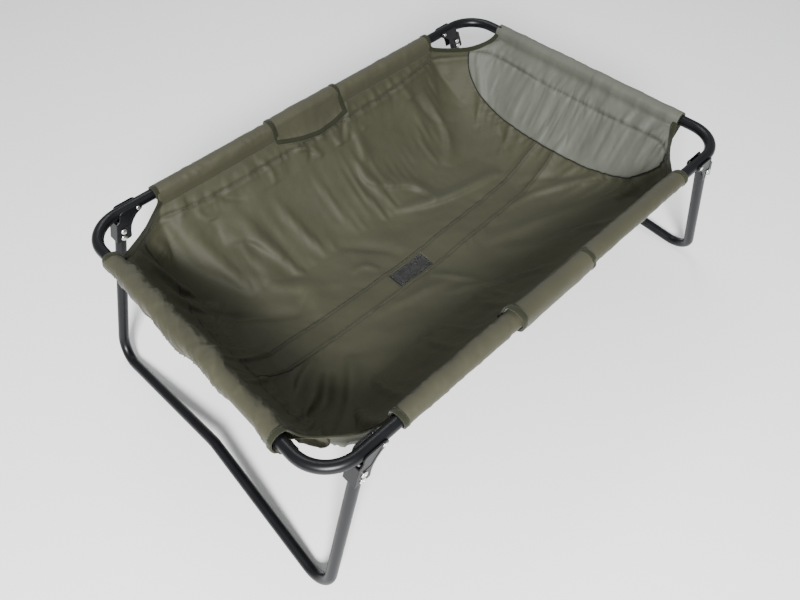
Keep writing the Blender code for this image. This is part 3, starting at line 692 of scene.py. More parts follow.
def settle(P, frames, slack, seam_pull, seed):
    """Lets the cloth hang: a coarse copy of the grid is simulated with its edges held, then refined."""
    ii = np.unique(np.concatenate([np.arange(0, P.shape[0], 2), [SEAM_L, SEAM_R, P.shape[0] - 1]]))
    jj = np.unique(np.concatenate([np.arange(0, P.shape[1], 2), [P.shape[1] - 1]]))
    C = P[np.ix_(ii, jj)]
    n, m = C.shape[:2]
    ob = new_object("hanging_cloth", C.reshape(-1, 3), grid_faces(n, m))
    hold = ob.vertex_groups.new(name="held")
    shrink = ob.vertex_groups.new(name="seams")
    z = base[:, :, 2][np.ix_(ii, jj)]
    v = np.abs(V)[jj][None, :] + 0 * z
    row = ii[:, None] + 0 * z
    for i in range(n):
        for q in range(m):
            k = i * m + q
            if i in (0, n - 1) or q in (0, m - 1):
                hold.add([k], 1.0, "REPLACE")
            w = max(math.exp(-((z[i, q] + 0.053) / 0.006) ** 2) if v[i, q] > 0.8 else 0,
                    math.exp(-((row[i, q] - SEAM_R) / 2.0) ** 2),
                    0.6 * math.exp(-((row[i, q] - SEAM_L) / 2.0) ** 2),
                    0.7 * math.exp(-((abs(v[i, q]) - v_of(STRIP_Y)) / 0.012) ** 2),
                    0.80 * min(1, max(0, (v[i, q] - 0.42) / 0.25)),
                    (0.95 if row[i, q] > SEAM_R else 0.80)
                    * float(row[i, q] < SEAM_L or row[i, q] > SEAM_R))
            if w > 0.02:
                shrink.add([k], w, "REPLACE")
    md = ob.modifiers.new("cloth", "CLOTH")
    st = md.settings
    st.quality = 5
    st.mass = 0.25
    st.tension_stiffness = 25
    st.compression_stiffness = 25
    st.shear_stiffness = 6
    st.bending_stiffness = 0.35
    st.tension_damping = 8
    st.compression_damping = 8
    st.shear_damping = 6
    st.bending_damping = 0.5
    st.air_damping = 2.0
    st.vertex_group_mass = "held"
    st.vertex_group_shrink = "seams"
    st.shrink_min = -slack
    st.shrink_max = seam_pull
    md.collision_settings.use_collision = False
    md.collision_settings.use_self_collision = False
    md.point_cache.frame_start = 1
    md.point_cache.frame_end = frames
    sc = bpy.context.scene
    sc.frame_start, sc.frame_end = 1, frames
    for f in range(1, frames + 1):
        sc.frame_set(f)
    dg = bpy.context.evaluated_depsgraph_get()
    ev = ob.evaluated_get(dg).to_mesh()
    co = np.zeros(len(ev.vertices) * 3)
    ev.vertices.foreach_get("co", co)
    ob.evaluated_get(dg).to_mesh_clear()
    co = co.reshape(n, m, 3)
    bpy.data.objects.remove(ob, do_unlink=True)
    sc.frame_set(1)
    D = co - C
    far = np.linalg.norm(D, axis=2, keepdims=True)
    D = D * np.minimum(1.0, 0.030 / np.maximum(far, 1e-9))
    return P + refine(D, ii, jj, P.shape[:2])


def refine(D, ii, jj, shape):
    """Cubic interpolation of a coarse grid back to the fine one."""
    def along(A, known, count):
        t = np.arange(count)
        k = np.clip(np.searchsorted(known, t, side="right") - 1, 0, len(known) - 2)
        f = ((t - known[k]) / (known[k + 1] - known[k]))[:, None, None]
        p0, p1 = A[np.maximum(k - 1, 0)], A[k]
        p2, p3 = A[k + 1], A[np.minimum(k + 2, len(known) - 1)]
        return 0.5 * (2 * p1 + (p2 - p0) * f + (2 * p0 - 5 * p1 + 4 * p2 - p3) * f**2
                      + (3 * p1 - p0 - 3 * p2 + p3) * f**3)
    out = along(D, ii, shape[0])
    return along(out.transpose(1, 0, 2), jj, shape[1]).transpose(1, 0, 2)


hung = settle(G, 34, 0.020, 0.006, 5)
# the doubled, taped cloth round each corner opening keeps its line
by_seam = np.exp(-(np.minimum(np.abs(row_i - SEAM_L), np.abs(row_i - SEAM_R)) / 16.0) ** 2)
by_seam = np.maximum(by_seam, ((row_i < SEAM_L) | (row_i > SEAM_R)).astype(float))
keep_line = 1 - by_seam * smoothstep(0.26, 0.05, 1 - np.abs(V))[None, :]
G = G + (hung - G) * keep_line[:, :, None]

# ------------------------------------------------------------------ seams, puckers and set folds
N1 = grid_normals(G)
D = np.zeros_like(X)
for line, height, width, other in FOLDS:
    D += 1.10 * crease(line, height, width, other)
BZ = base[:, :, 2]
on_body = ((row_i >= SEAM_L) & (row_i <= SEAM_R)).astype(float)
v_abs = np.abs(V)[None, :] + 0 * X
seam_z = -0.053 + 0.010 * smoothstep(-0.25, -0.36, X) + 0.012 * smoothstep(0.16, 0.32, X)
side = (v_abs > 0.75) * on_body
from_seam = (BZ - seam_z) * side + (1 - side) * 1.0
pk = fbm(UU / 0.0080, VV / 0.030, 201, 2) + 0.7 * fbm(UU / 0.017 + VV / 0.05, VV / 0.06, 215, 1)
D += side * (0.0030 * pk * np.exp(-(np.abs(from_seam) / 0.012) ** 1.2)
             - 0.0026 * np.exp(-(from_seam / 0.0030) ** 2)
             + 0.0012 * np.exp(-((np.abs(from_seam) - 0.007) / 0.005) ** 2))
# long soft pulls that hang from the seam, and upright ones in the band over it
pulls = np.clip(fbm(UU / 0.036, VV / 0.30, 223, 2) - 0.12, 0, 1)
D += side * 0.0024 * pulls * np.exp(-np.abs(from_seam + 0.020) / 0.030)
D += (v_abs > 0.75) * on_body * 0.0018 * fbm(UU / 0.018 + VV / 0.03, VV / 0.12, 231, 2) \
    * smoothstep(-0.055, -0.040, BZ) * np.clip((1 - v_abs) / 0.05, 0, 1)
# the seam at the foot of the head pad, and the plain one at the other end
for seam_row, amp, seed in ((SEAM_R, 0.0024, 241), (SEAM_L, 0.0015, 251)):
    away = (row_i - seam_row) * 0.0040
    inward = away * (-1 if seam_row == SEAM_R else 1)
    near_it = np.exp(-(np.abs(away) / 0.016) ** 1.2) * (inward > -0.002)
    D += amp * near_it * (fbm(VV / 0.0100 + UU * 12, VV * 0 + 2.0, seed, 2)
                          + 0.5 * fbm(VV / 0.024, UU / 0.05, seed + 3, 2))
    D -= 0.0014 * np.exp(-(away / 0.0024) ** 2)
# set creases of the far wall and its band: lines of (x, z), height, width
for line, height, width, other in (
        ([(-0.075, -0.045), (-0.051, -0.060), (-0.026, -0.074), (-0.013, -0.099)], 0.0050, 0.008, 0.5),
        ([(0.029, -0.067), (0.037, -0.099), (0.055, -0.125), (0.038, -0.148)], 0.0060, 0.011, 0.4),
        ([(0.078, -0.070), (0.059, -0.110), (0.059, -0.141), (0.082, -0.165)], -0.0050, 0.010, 0.5),
        ([(0.078, -0.013), (0.076, -0.038), (0.061, -0.063), (0.045, -0.085)], -0.0045, 0.007, 0.7),
        ([(0.090, -0.013), (0.086, -0.035), (0.076, -0.058)], 0.0030, 0.007, 0.7),
        ([(0.324, -0.040), (0.330, -0.076), (0.331, -0.101), (0.313, -0.122)], -0.0045, 0.008, 0.6),
        ([(0.103, -0.080), (0.113, -0.103), (0.130, -0.125)], 0.0040, 0.009, 0.5),
        ([(-0.038, -0.049), (-0.034, -0.074), (-0.048, -0.090)], -0.0032, 0.006, 0.8),
        ([(-0.304, -0.053), (-0.294, -0.079), (-0.260, -0.100)], 0.0042, 0.009, 0.5),
        ([(-0.258, -0.040), (-0.239, -0.068), (-0.200, -0.090)], -0.0040, 0.008, 0.6),
        ([(-0.145, -0.038), (-0.132, -0.063), (-0.134, -0.090)], 0.0034, 0.008, 0.5),
        ([(0.233, -0.040), (0.242, -0.069), (0.262, -0.105)], 0.0042, 0.010, 0.5),
        ([(0.150, -0.016), (0.160, -0.034), (0.158, -0.050)], 0.0026, 0.007, 0.6),
        ([(0.205, -0.016), (0.212, -0.034), (0.206, -0.050)], 0.0026, 0.007, 0.6),
        ([(0.262, -0.016), (0.272, -0.032), (0.270, -0.046)], 0.0028, 0.008, 0.6)):
    d_, t_ = dist_line(X, BZ * 1.15, catmull([(a, b * 1.15) for a, b in line], 40))
    w_ = np.where(d_ > 0, width, width * other)
    D += side * (Y > 0) * height * np.sin(math.pi * np.clip(t_, 0.04, 0.96)) ** 0.6 \
        * np.exp(-((d_ / w_) ** 2))
# tucks along both edges of the centre strip
off = np.abs(VV) - STRIP_Y * 1.0
tuck = np.clip(fbm((UU + 0.8 * np.abs(VV)) / 0.012, VV / 0.08, 261, 2), -0.2, 1)
D += on_body * 0.0026 * tuck * np.exp(-np.clip(off, 0, None) / 0.012) * (off > -0.001)
D += on_body * 0.0007 * fbm((UU - 0.6 * VV) / 0.020, VV / 0.03, 271, 2) * (off <= -0.001)
# the near wall bulges in under its rail, and the end wall does at the left
D += 0.0050 * np.exp(-((BZ + 0.024) / 0.013) ** 2) * side * (Y < 0) \
    * smoothstep(0.0, 0.10, 1 - v_abs * 0.98)
lt = np.clip((SEAM_L - row_i) / n_end, 0, 1)
D += 0.0065 * np.exp(-((lt - 0.84) / 0.13) ** 2) * np.clip((1 - v_abs) / 0.1, 0, 1) * (lt > 0)
D += 0.0030 * (lt > 0) * np.sin(math.pi * lt) * fbm(Y / 0.040, Z / 0.07, 281, 2)
# fine crumple everywhere
D += 0.00045 * fbm(UU / 0.016, VV / 0.016, 291, 3)
D += 0.0022 * fbm(UU / 0.055 + VV / 0.09, VV / 0.070, 295, 2) * (v_abs < 0.75) * on_body
edge_in = np.clip(np.minimum((1 - v_abs) / 0.02, np.minimum(row_i, NR - 1 - row_i) / 2.0), 0, 1)
by_seam = np.exp(-(np.minimum(np.abs(row_i - SEAM_L), np.abs(row_i - SEAM_R)) / 12.0) ** 2)
D *= 1 - 0.8 * by_seam * smoothstep(0.14, 0.02, 1 - v_abs)
G = G + N1 * (D * edge_in)[:, :, None]
N = grid_normals(G)

# ------------------------------------------------------------------ the trough cloth
MID_I = int(np.argmin(np.abs(base[:, NV // 2, 0])))
col_y = SLING_Y * np.sin(np.abs(V) * math.pi / 2) ** POWER * np.sign(V)
in_strip = np.abs(V) <= v_of(STRIP_Y) + 1e-9
row_x = base[:, NV // 2, 0]
win_rows = (row_x >= MESH_X[0] - 1e-6) & (row_x <= MESH_X[1] + 1e-6)
win_cols = np.abs(V) <= v_of(MESH_Y) + 1e-9
wi, wj = np.flatnonzero(win_rows & (np.arange(NR) > SEAM_L) & (np.arange(NR) < SEAM_R)), \
    np.flatnonzero(win_cols)
keep = np.ones((NR - 1, NV - 1), bool)
keep[wi[0]:wi[-1], wj[0]:wj[-1]] = False
UV = np.stack([UU, VV], 2)

# Stores the painted seam darkening on a piece: painted shade in the seam grooves, with a little of the
# stitching's darker tone.
def paint_stitch_and_seam_shade(ob, value):
    at = ob.data.attributes.new("stitch_and_seam_shade", "FLOAT", "POINT")
    at.data.foreach_set("value", np.ascontiguousarray(value, dtype=np.float32).ravel())


sling = grid_object("sling_cloth", G, SLING_M, keep=keep, uv=UV.reshape(-1, 2))
# Painted shade on the sling: dark lines along the side seams and the left end seam, and a painted shadow
# along the centre strip's raised edges.
broken = 0.75 + 0.25 * fbm(UU / 0.012, VV / 0.012, 207, 2)
paint_stitch_and_seam_shade(sling, np.clip(0.8 * side * np.exp(-(from_seam / 0.0021) ** 2) * broken
                           + 0.8 * np.exp(-((row_i - SEAM_L) / 0.6) ** 2) * (v_abs < 0.97)
                           + 0.5 * on_body * np.exp(-(off / 0.0018) ** 2), 0, 1))
solid(sling, 0.0012, -1.0)
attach(sling, "root")
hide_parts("sling")


def overlay(name, i0, i1, j0, j1, lift, mat, thickness, keep=None, offset=1.0):
    P = (G + N * lift)[i0:i1 + 1, j0:j1 + 1]
    ob = grid_object(name, P, mat, keep=None if keep is None else keep[i0:i1, j0:j1],
                     uv=UV[i0:i1 + 1, j0:j1 + 1].reshape(-1, 2))
    solid(ob, thickness, offset)
    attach(ob, "root")
    return ob


js = np.flatnonzero(in_strip)
strip = overlay("strip_tape", SEAM_L + 1, SEAM_R - 1, js[0], js[-1], 0.0003, STRIP_M, 0.0009, keep)
# Painted shade along the strip's two stitch rows and its edge, with a little of the stitching's darker
# tone.
strip_y = np.abs(col_y[js[0]:js[-1] + 1])[None, :] + np.zeros((SEAM_R - SEAM_L - 1, 1))
paint_stitch_and_seam_shade(strip, np.clip(0.65 * np.exp(-((strip_y - STRIP_Y + 0.0070) / 0.0016) ** 2)
                           + 0.45 * np.exp(-((strip_y - STRIP_Y) / 0.0012) ** 2), 0, 1))
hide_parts("centre_strip")

# drain net: knotted cords across the window
net_pts = (G - N * 0.0012)[wi[0]:wi[-1] + 1, wj[0]:wj[-1] + 1]
nx, ny = 56, 24
ui, vi = np.linspace(0, net_pts.shape[0] - 1, nx + 1), np.linspace(0, net_pts.shape[1] - 1, ny + 1)


def sample_grid(P, ui, vi):
    i0 = np.clip(np.floor(ui).astype(int), 0, P.shape[0] - 2)
    j0 = np.clip(np.floor(vi).astype(int), 0, P.shape[1] - 2)
    fu, fv = (ui - i0)[..., None], (vi - j0)[..., None]
    return ((P[i0, j0] * (1 - fu) + P[i0 + 1, j0] * fu) * (1 - fv)
            + (P[i0, j0 + 1] * (1 - fu) + P[i0 + 1, j0 + 1] * fu) * fv)


II, JJ = np.meshgrid(ui, vi, indexing="ij")
net = grid_object("drain_net", sample_grid(net_pts, II, JJ), NET_M)
wf = net.modifiers.new("cords", "WIREFRAME")
wf.thickness = 0.0014
wf.use_even_offset = False
wf.use_boundary = True
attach(net, "root")
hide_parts("drain_mesh")

# head pad: a soft thin pad sewn over the right end wall
pi0, pi1 = SEAM_R, NR - 1
PADN = N[pi0:pi1 + 1]
tt = np.linspace(0, 1, pi1 - pi0 + 1)[:, None]
vv = np.abs(V)[None, :]
puff = 0.0050 * np.clip(np.sin(math.pi * np.clip(tt * 1.02, 0, 1)), 0, 1) ** 0.5 \
    * np.clip((1 - vv) / 0.08, 0, 1) ** 0.5
under_tape = smoothstep(0.0, 0.07, 1 - vv)
pad_top = G[pi0:pi1 + 1] + PADN * (0.0004 + (0.0010 + puff) * under_tape)[:, :, None]
s_p = base[pi0:pi1 + 1, :, 1] * 1.15
t_p = tt + 0 * s_p
pz = base[pi0:pi1 + 1, :, 2]
seam_t = np.array([np.interp(-0.048 + 0.018 * v * v, pz[:, q], tt[:, 0])
                   for q, v in enumerate(V)])[None, :]
hang = fbm(s_p / 0.034 + 0.5 * t_p, t_p * 0.7, 311, 2) + 0.5 * fbm(s_p / 0.016, t_p * 1.3, 317, 2)
below = smoothstep(0.02, 0.25, t_p) * smoothstep(0.0, -0.04, t_p - seam_t)
above = smoothstep(0.0, 0.04, t_p - seam_t)
ph = 0.0042 * hang * below
ph += 0.0030 * above * fbm((s_p + 0.05 * t_p) / 0.022, t_p * 1.2, 323, 2)
ds = (pz - (-0.048 + 0.018 * vv * vv)) / 0.88
ph += 0.0028 * np.exp(-(np.abs(ds) / 0.012) ** 1.2) * (
    fbm(s_p / 0.0085, t_p * 3, 331, 2) + 0.6 * fbm((s_p + 0.3 * np.abs(ds)) / 0.019, t_p, 337, 1))
ph -= 0.0030 * np.exp(-(ds / 0.0030) ** 2)
ph *= smoothstep(0.02, 0.09, 1 - vv)
pad_top = pad_top + PADN * ph[:, :, None]
over_rail = catmull([(-0.0141, -0.0100), (-0.0152, -0.0030), (-0.0120, 0.0094),
                     (-0.0015, 0.0151), (0.0048, 0.0147)], 18)[1:]
near_ph = ph[-2]
roll = []
for k, (a, z) in enumerate(over_rail):
    fade = 1 - k / len(over_rail)
    r = math.hypot(a, z)
    w_ = 0.9 * np.maximum(near_ph * fade + 0.0011 * (1 - fade) * fbm(
        V_ARC / 0.030 + 0.05 * k, V_ARC * 0 + 0.06 * k, 327, 2), -0.0006)
    roll.append(np.stack([HX + a * (1 + w_ / r), END_Y * V, z * (1 + w_ / r)], 1))
pad_top[-1] += PADN[-1] * 0.0014
pad_top = np.concatenate([pad_top, np.array(roll)], 0)
for _ in range(2):
    q = slice(pi1 - pi0 - 3, pi1 - pi0 + 4)
    pad_top[q] = (pad_top[pi1 - pi0 - 4:pi1 - pi0 + 3] + 2 * pad_top[q]
                  + pad_top[pi1 - pi0 - 2:pi1 - pi0 + 5]) / 4


pad = grid_object("head_pad_cover", pad_top, PAD_M)
# Painted shade along the pad's sewn seam.
pad_seam_shade = np.zeros(pad_top.shape[:2])
pad_seam_shade[:pi1 - pi0 + 1] = 0.75 * np.exp(-(ds / 0.0024) ** 2)
paint_stitch_and_seam_shade(pad, pad_seam_shade)
solid(pad, 0.0012, -1.0)
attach(pad, "root")
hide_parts("head_pad")

# ------------------------------------------------------------------ sleeves
FAR_SECTION = [(-0.0132, -0.0215), (-0.0133, -0.0125), (-0.0130, -0.0030), (-0.0094, 0.0088),
               (0.0, 0.0128), (0.0092, 0.0090), (0.0130, 0.0), (0.0094, -0.0090),
               (0.0, -0.0133), (-0.0088, -0.0146), (-0.0112, -0.0240), (-0.0116, -0.0400),
               (-0.0128, -0.0560)]
NEAR_SECTION = [(-0.0165, -0.0225), (-0.0178, -0.0120), (-0.0160, 0.0008), (-0.0098, 0.0096),
                (0.0, 0.0130), (0.0092, 0.0090), (0.0132, 0.0), (0.0095, -0.0092),
                (0.0, -0.0134), (-0.0088, -0.0147), (-0.0112, -0.0240), (-0.0116, -0.0400),
                (-0.0128, -0.0560)]
LEFT_SECTION = [(0.0178, -0.0220), (0.0200, -0.0110), (0.0188, 0.0010), (0.0120, 0.0098),
                (0.0005, 0.0132), (-0.0092, 0.0096), (-0.0136, 0.0), (-0.0120, -0.011),
                (-0.0050, -0.026), (0.0095, -0.044), (0.0226, -0.058)]
LEFT_SECTION = [(-a, z) for a, z in LEFT_SECTION]
RIGHT_SECTION = [(-0.0128, -0.0115), (-0.0130, -0.0070), (-0.0128, -0.0020), (-0.0093, 0.0087),
                 (0.0, 0.0130), (0.0094, 0.0090), (0.0132, 0.0), (0.0112, -0.010),
                 (0.0010, -0.026), (-0.0130, -0.044), (-0.0270, -0.060)]


def place_long(sy):
    return lambda s, a, z: np.stack([s, sy * (HY + a), z], -1)


def place_end(sx):
    return lambda s, a, z: np.stack([sx * (HX + a), s, z], -1)


def sleeve(name, section, s0, s1, place, seed, node, amp=0.0016, wl=0.030,
           pucker=0.0022, mat=None, step=0.0035, shear=0.0, loose=0.0, share=None, fine=0.0010, cut=0.0,
           quiet=0.0):
    """A sewn loop of cloth round a rail, with a flange down to its seam."""
    m = 84
    sec = catmull(section, m)
    t_sec = np.gradient(sec, axis=0)
    n_sec = np.stack([-t_sec[:, 1], t_sec[:, 0]], 1)
    n_sec /= np.linalg.norm(n_sec, axis=1, keepdims=True)
    centre = np.array([0, 0.0])
    if ((sec[m // 2] - centre) @ n_sec[m // 2]) < 0:
        n_sec = -n_sec
    n = int(round((s1 - s0) / step)) + 1
    S = np.linspace(s0, s1, n)
    w = np.linspace(0, 1, m)
    SS, WW = np.meshgrid(S, w, indexing="ij")
    length = arc(sec)[-1]
    A = np.repeat(sec[None, :, 0], n, 0)
    Zs = np.repeat(sec[None, :, 1], n, 0)
    # how free the cloth is: tight over the tube's top, loose on the flange
    over = np.exp(-((WW - 0.40) / 0.16) ** 2)
    free = (1 - 0.60 * over) * smoothstep(0.0, 0.14, WW)
    d = amp * free * (fbm((SS + shear * WW * length) / wl, WW * length / 0.11, seed, 3) * 1.3
                      + 0.6 * np.abs(fbm((SS - 0.4 * WW * length) / (wl * 0.55),
                                         WW * length / 0.07, seed + 9, 2)))
    # puckers at the seam, both layers
    edge = np.exp(-((1 - WW) * length / 0.012) ** 1.3)
    pk = fbm(SS / 0.0085, 0 * SS + 3.3, seed + 21, 2) + 0.6 * fbm(SS / 0.016, 0 * SS, seed + 5, 1)
    d = d + pucker * edge * pk
    d = d + loose * free * fbm(SS / 0.060 + WW * 1.2, WW * 1.6, seed + 40, 2)
    ridge = fbm((SS + (0.5 + shear) * WW * length) / 0.017, WW * length / 0.055, seed + 60, 2)
    d = d + fine * free * (np.clip(1 - 4.5 * np.abs(ridge), 0, 1)
                           + 0.8 * fbm((SS + 0.3 * WW * length) / 0.011, WW * length / 0.03,
                                       seed + 70, 2))
    d = d * (1 - quiet * smoothstep(0.50, 0.58, WW)) * (1 - 0.75 * smoothstep(0.80, 0.98, WW))
    d = np.maximum(d, -0.0010)
    if share is not None:
        lap = smoothstep(0.34, 0.12, WW)
        d = d * (1 - smoothstep(0.22, 0.12, WW)) + lap * share(S)[:, None]
    A = A + d * n_sec[None, :, 0]
    Zs = Zs + d * n_sec[None, :, 1]
    # the loop never enters the tube
    r = np.hypot(A, Zs)
    tight = np.maximum(r, TUBE_R + 0.0012) / np.maximum(r, 1e-9)
    A, Zs = A * tight, Zs * tight
    # the outer layer is cut back with the corner openings
    SP = SS + cut * smoothstep(0.55, 1.0, WW) * (np.exp(-(SS - s0) / 0.045)
                                                 - np.exp(-(s1 - SS) / 0.045))
    P = place(SP, A, Zs)
    uv = np.stack([SS, WW * length], 2).reshape(-1, 2)
    ob = grid_object(name, P, mat or SLEEVE_M, uv=uv)
    bm = bmesh.new()
    bm.from_mesh(ob.data)
    c = P[n // 2, m // 2] + (0, 0, RZ)
    bm.verts.ensure_lookup_table()
    f = min(bm.faces, key=lambda f: (f.calc_center_median() - Vector(c)).length)
    if f.normal.z < 0:
        bmesh.ops.reverse_faces(bm, faces=bm.faces)
    bm.to_mesh(ob.data)
    bm.free()
    solid(ob, 0.0008, -1.0)
    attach(ob, "root")
    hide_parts(node)
    return ob, P


def rim_shape(sy):
    """How far the finished wall stands in from its plain shape, a little below the rail."""
    half = np.arange(NV // 2, NV) if sy > 0 else np.arange(NV // 2, -1, -1)
    xs, ds_ = [], []
    for i in range(SEAM_L + 4, SEAM_R - 3):
        jf = float(np.interp(-0.0200, base[i, half, 2], half))
        p, p0 = (sample_grid(A_, np.array([float(i)]), np.array([jf]))[0] for A_ in (G, base))
        xs.append(p[0])
        ds_.append(-sy * (p[1] - p0[1]))
    return lambda S: np.interp(S, xs, ds_)


sleeves = {}
for side, sy, sec, seed in (("far", 1, FAR_SECTION, 51), ("near", -1, NEAR_SECTION, 77)):
    sleeves[side] = sleeve(f"{side}_rail_sleeve", sec, SLEEVE_NEG, SLEEVE_POS, place_long(sy),
                           seed, f"rail_sleeve_{side}",
                           pucker=0.0020 if side == "far" else 0.0012,
                           share=rim_shape(sy), cut=0.034, quiet=0.8)
sleeves["left"] = sleeve("left_end_sleeve", LEFT_SECTION, -END_Y, END_Y, place_end(-1), 93,
                         "end_sleeve_left", amp=0.0052, wl=0.030, loose=0.0055,
                         shear=0.9, fine=0.0026)
sleeves["right"] = sleeve("right_end_sleeve", RIGHT_SECTION, -END_Y, END_Y, place_end(1), 107,
                          "end_sleeve_right", amp=0.0005,
                          pucker=0.0026, fine=0.0)


# ------------------------------------------------------------------ binding tape
def tape_edge(name, edge, inward, normal, width, thick, mat, over=0.0012):
    """Tape folded over a raw edge: a soft flat bar along it."""
    r = thick / 2
    sec = [(-over + r * (1 - math.cos(a)), r * math.sin(a))
           for a in np.linspace(-math.pi / 2, math.pi / 2, 7)]
    sec += [(width * 0.5, r), (width * 0.92, r * 0.95), (width, r * 0.55), (width, -r * 0.55),
            (width * 0.92, -r * 0.95), (width * 0.5, -r)]
    G2 = np.stack([edge + inward * a + normal * b for a, b in sec], 1)
    n, m = G2.shape[:2]
    faces = grid_faces(n, m, True)
    faces.append(tuple(range(m)))
    faces.append(tuple((n - 1) * m + q for q in range(m))[::-1])
    s = arc(edge)
    per = np.array([a for a, b in sec]) + np.array([b for a, b in sec])
    uv = np.stack([np.repeat(s, m), np.tile(per, n)], 1)
    ob = new_object(name, G2.reshape(-1, 3) + (0, 0, RZ), faces, mat, uv)
    bm = bmesh.new()
    bm.from_mesh(ob.data)
    bmesh.ops.recalc_face_normals(bm, faces=bm.faces)
    bm.to_mesh(ob.data)
    bm.free()
    return ob


straight_l = SEAM_L + 13              # where the straight rail part ends on the left
straight_r = SEAM_R - 13
BINDINGS = {}
for end, sx in (("left", -1), ("right", 1)):
    for side, sy in (("near", -1), ("far", 1)):
        j = 0 if sy < 0 else NV - 1
        ji = 8 if sy < 0 else NV - 9
        if sx < 0:
            idx = np.arange(straight_l - 2, 3, -1)
        else:
            idx = np.arange(straight_r + 2, NR - 4)
        edge, inner = G[idx, j], G[idx, ji]
        inw = inner - edge
        inw /= np.linalg.norm(inw, axis=1, keepdims=True)
        Pr = sleeves[side][1][0 if sx < 0 else -1]
        Pe = sleeves[end][1][0 if sy < 0 else -1]
        r_in = np.tile([-sx * 1.0, 0, 0], (len(Pr), 1))
        e_in = np.tile([0, -sy * 1.0, 0], (len(Pe), 1))
        path = np.vstack([Pr[::-1][:-6], edge[::3], Pe[6:]])
        into = np.vstack([r_in[:-6], inw[::3], e_in[6:]])
        both = catmull(np.hstack([path[::3], into[::3] * 0.02]), 260)
        path, into = both[:, :3], both[:, 3:]
        # rounded where the tape leaves each rail; the loops keep their size
        low = smoothstep(0.004, -0.016, path[:, 2])
        top_r, top_e = np.argmax(path[:130, 2]), 130 + np.argmax(path[130:, 2])
        low[:top_r] = 0
        low[top_e:] = 0
        low = low[1:-1, None]
        for k in range(170):
            g_ = low if k > 4 else np.maximum(low, 0.5)
            path[1:-1] += g_ * (path[:-2] - path[1:-1] * 2 + path[2:]) / 4
            into[1:-1] += np.maximum(g_, 0.4) * (into[:-2] - into[1:-1] * 2 + into[2:]) / 4
        t = np.gradient(path, axis=0)
        t /= np.linalg.norm(t, axis=1, keepdims=True)
        into = into - t * (into * t).sum(1, keepdims=True)
        into /= np.linalg.norm(into, axis=1, keepdims=True)
        normal = np.cross(t, into)
        if normal[len(normal) // 2][2] < 0:
            normal = -normal
        s_ = arc(path)
        wob = 0.0005 * fbm(s_ / 0.02, s_ * 0 + sx * 2.0 + sy, 300 + sx * 3 + sy * 5, 2)
        path = path + normal * (wob + 0.0003)[:, None]
        tape = tape_edge(f"binding_{side}_{end}", path, into, normal, 0.0092, 0.0030, TAPE_M)
        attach(tape, "root")
        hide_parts(f"corner_binding_{side}_{end}")
        BINDINGS[side, end] = (path, into, normal)

# a loose end of tape and cloth, folded back at the near left corner
tail_path = catmull([(-0.470, -0.2290, -0.0180), (-0.4625, -0.2390, -0.0215),
                     (-0.4540, -0.2500, -0.0290), (-0.4440, -0.2600, -0.0345),
                     (-0.4370, -0.2630, -0.0340), (-0.4405, -0.2570, -0.0290),
                     (-0.4490, -0.2500, -0.0240)], 90)
tp, tt_, ta, tb = frames_along(tail_path)
ang_ = np.linspace(0, math.tau, 20, endpoint=False)
sT = arc(tp)
grow = 1 + 0.38 * fbm(sT[:, None] / 0.006 + np.cos(ang_)[None], np.sin(ang_)[None] * 1.3 + 4
                      + 0 * sT[:, None], 511, 3)
tail_r = 0.0052 * smoothstep(0.0, 0.10, sT / sT[-1]) * smoothstep(1.0, 0.86, sT / sT[-1]) + 0.0006
ring_ = (np.cos(ang_)[None, :, None] * ta[:, None] * 0.55 + np.sin(ang_)[None, :, None] * tb[:, None])
tail_P = tp[:, None] + ring_ * (tail_r[:, None] * grow)[:, :, None]
tail_f = grid_faces(len(tp), 20, True)
tail_f += [tuple(range(20))[::-1], tuple((len(tp) - 1) * 20 + k for k in range(20))]
tail = new_object("binding_tail_near_left", tail_P.reshape(-1, 3) + (0, 0, RZ), tail_f, SLEEVE_M,
                  np.stack([np.repeat(sT, 20), np.tile(ang_ * 0.005, len(tp))], 1))
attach(tail, "root")

# ------------------------------------------------------------------ carry grips
def wall_a(sy, x, z):
    """How far the finished wall stands from the rail line at a place on it, outward positive."""
    i = int(np.argmin(np.abs(base[:, 0 if sy < 0 else NV - 1, 0] - x)))
    half = np.arange(NV // 2 + 30, NV) if sy > 0 else np.arange(NV // 2 - 30, -1, -1)
    reach = []
    for k in range(max(i - 2, 0), min(i + 3, NR)):
        reach.append(float(np.interp(z, np.maximum.accumulate(G[k, half, 2]),
                                     np.abs(G[k, half, 1]))))
    return min(reach) - HY


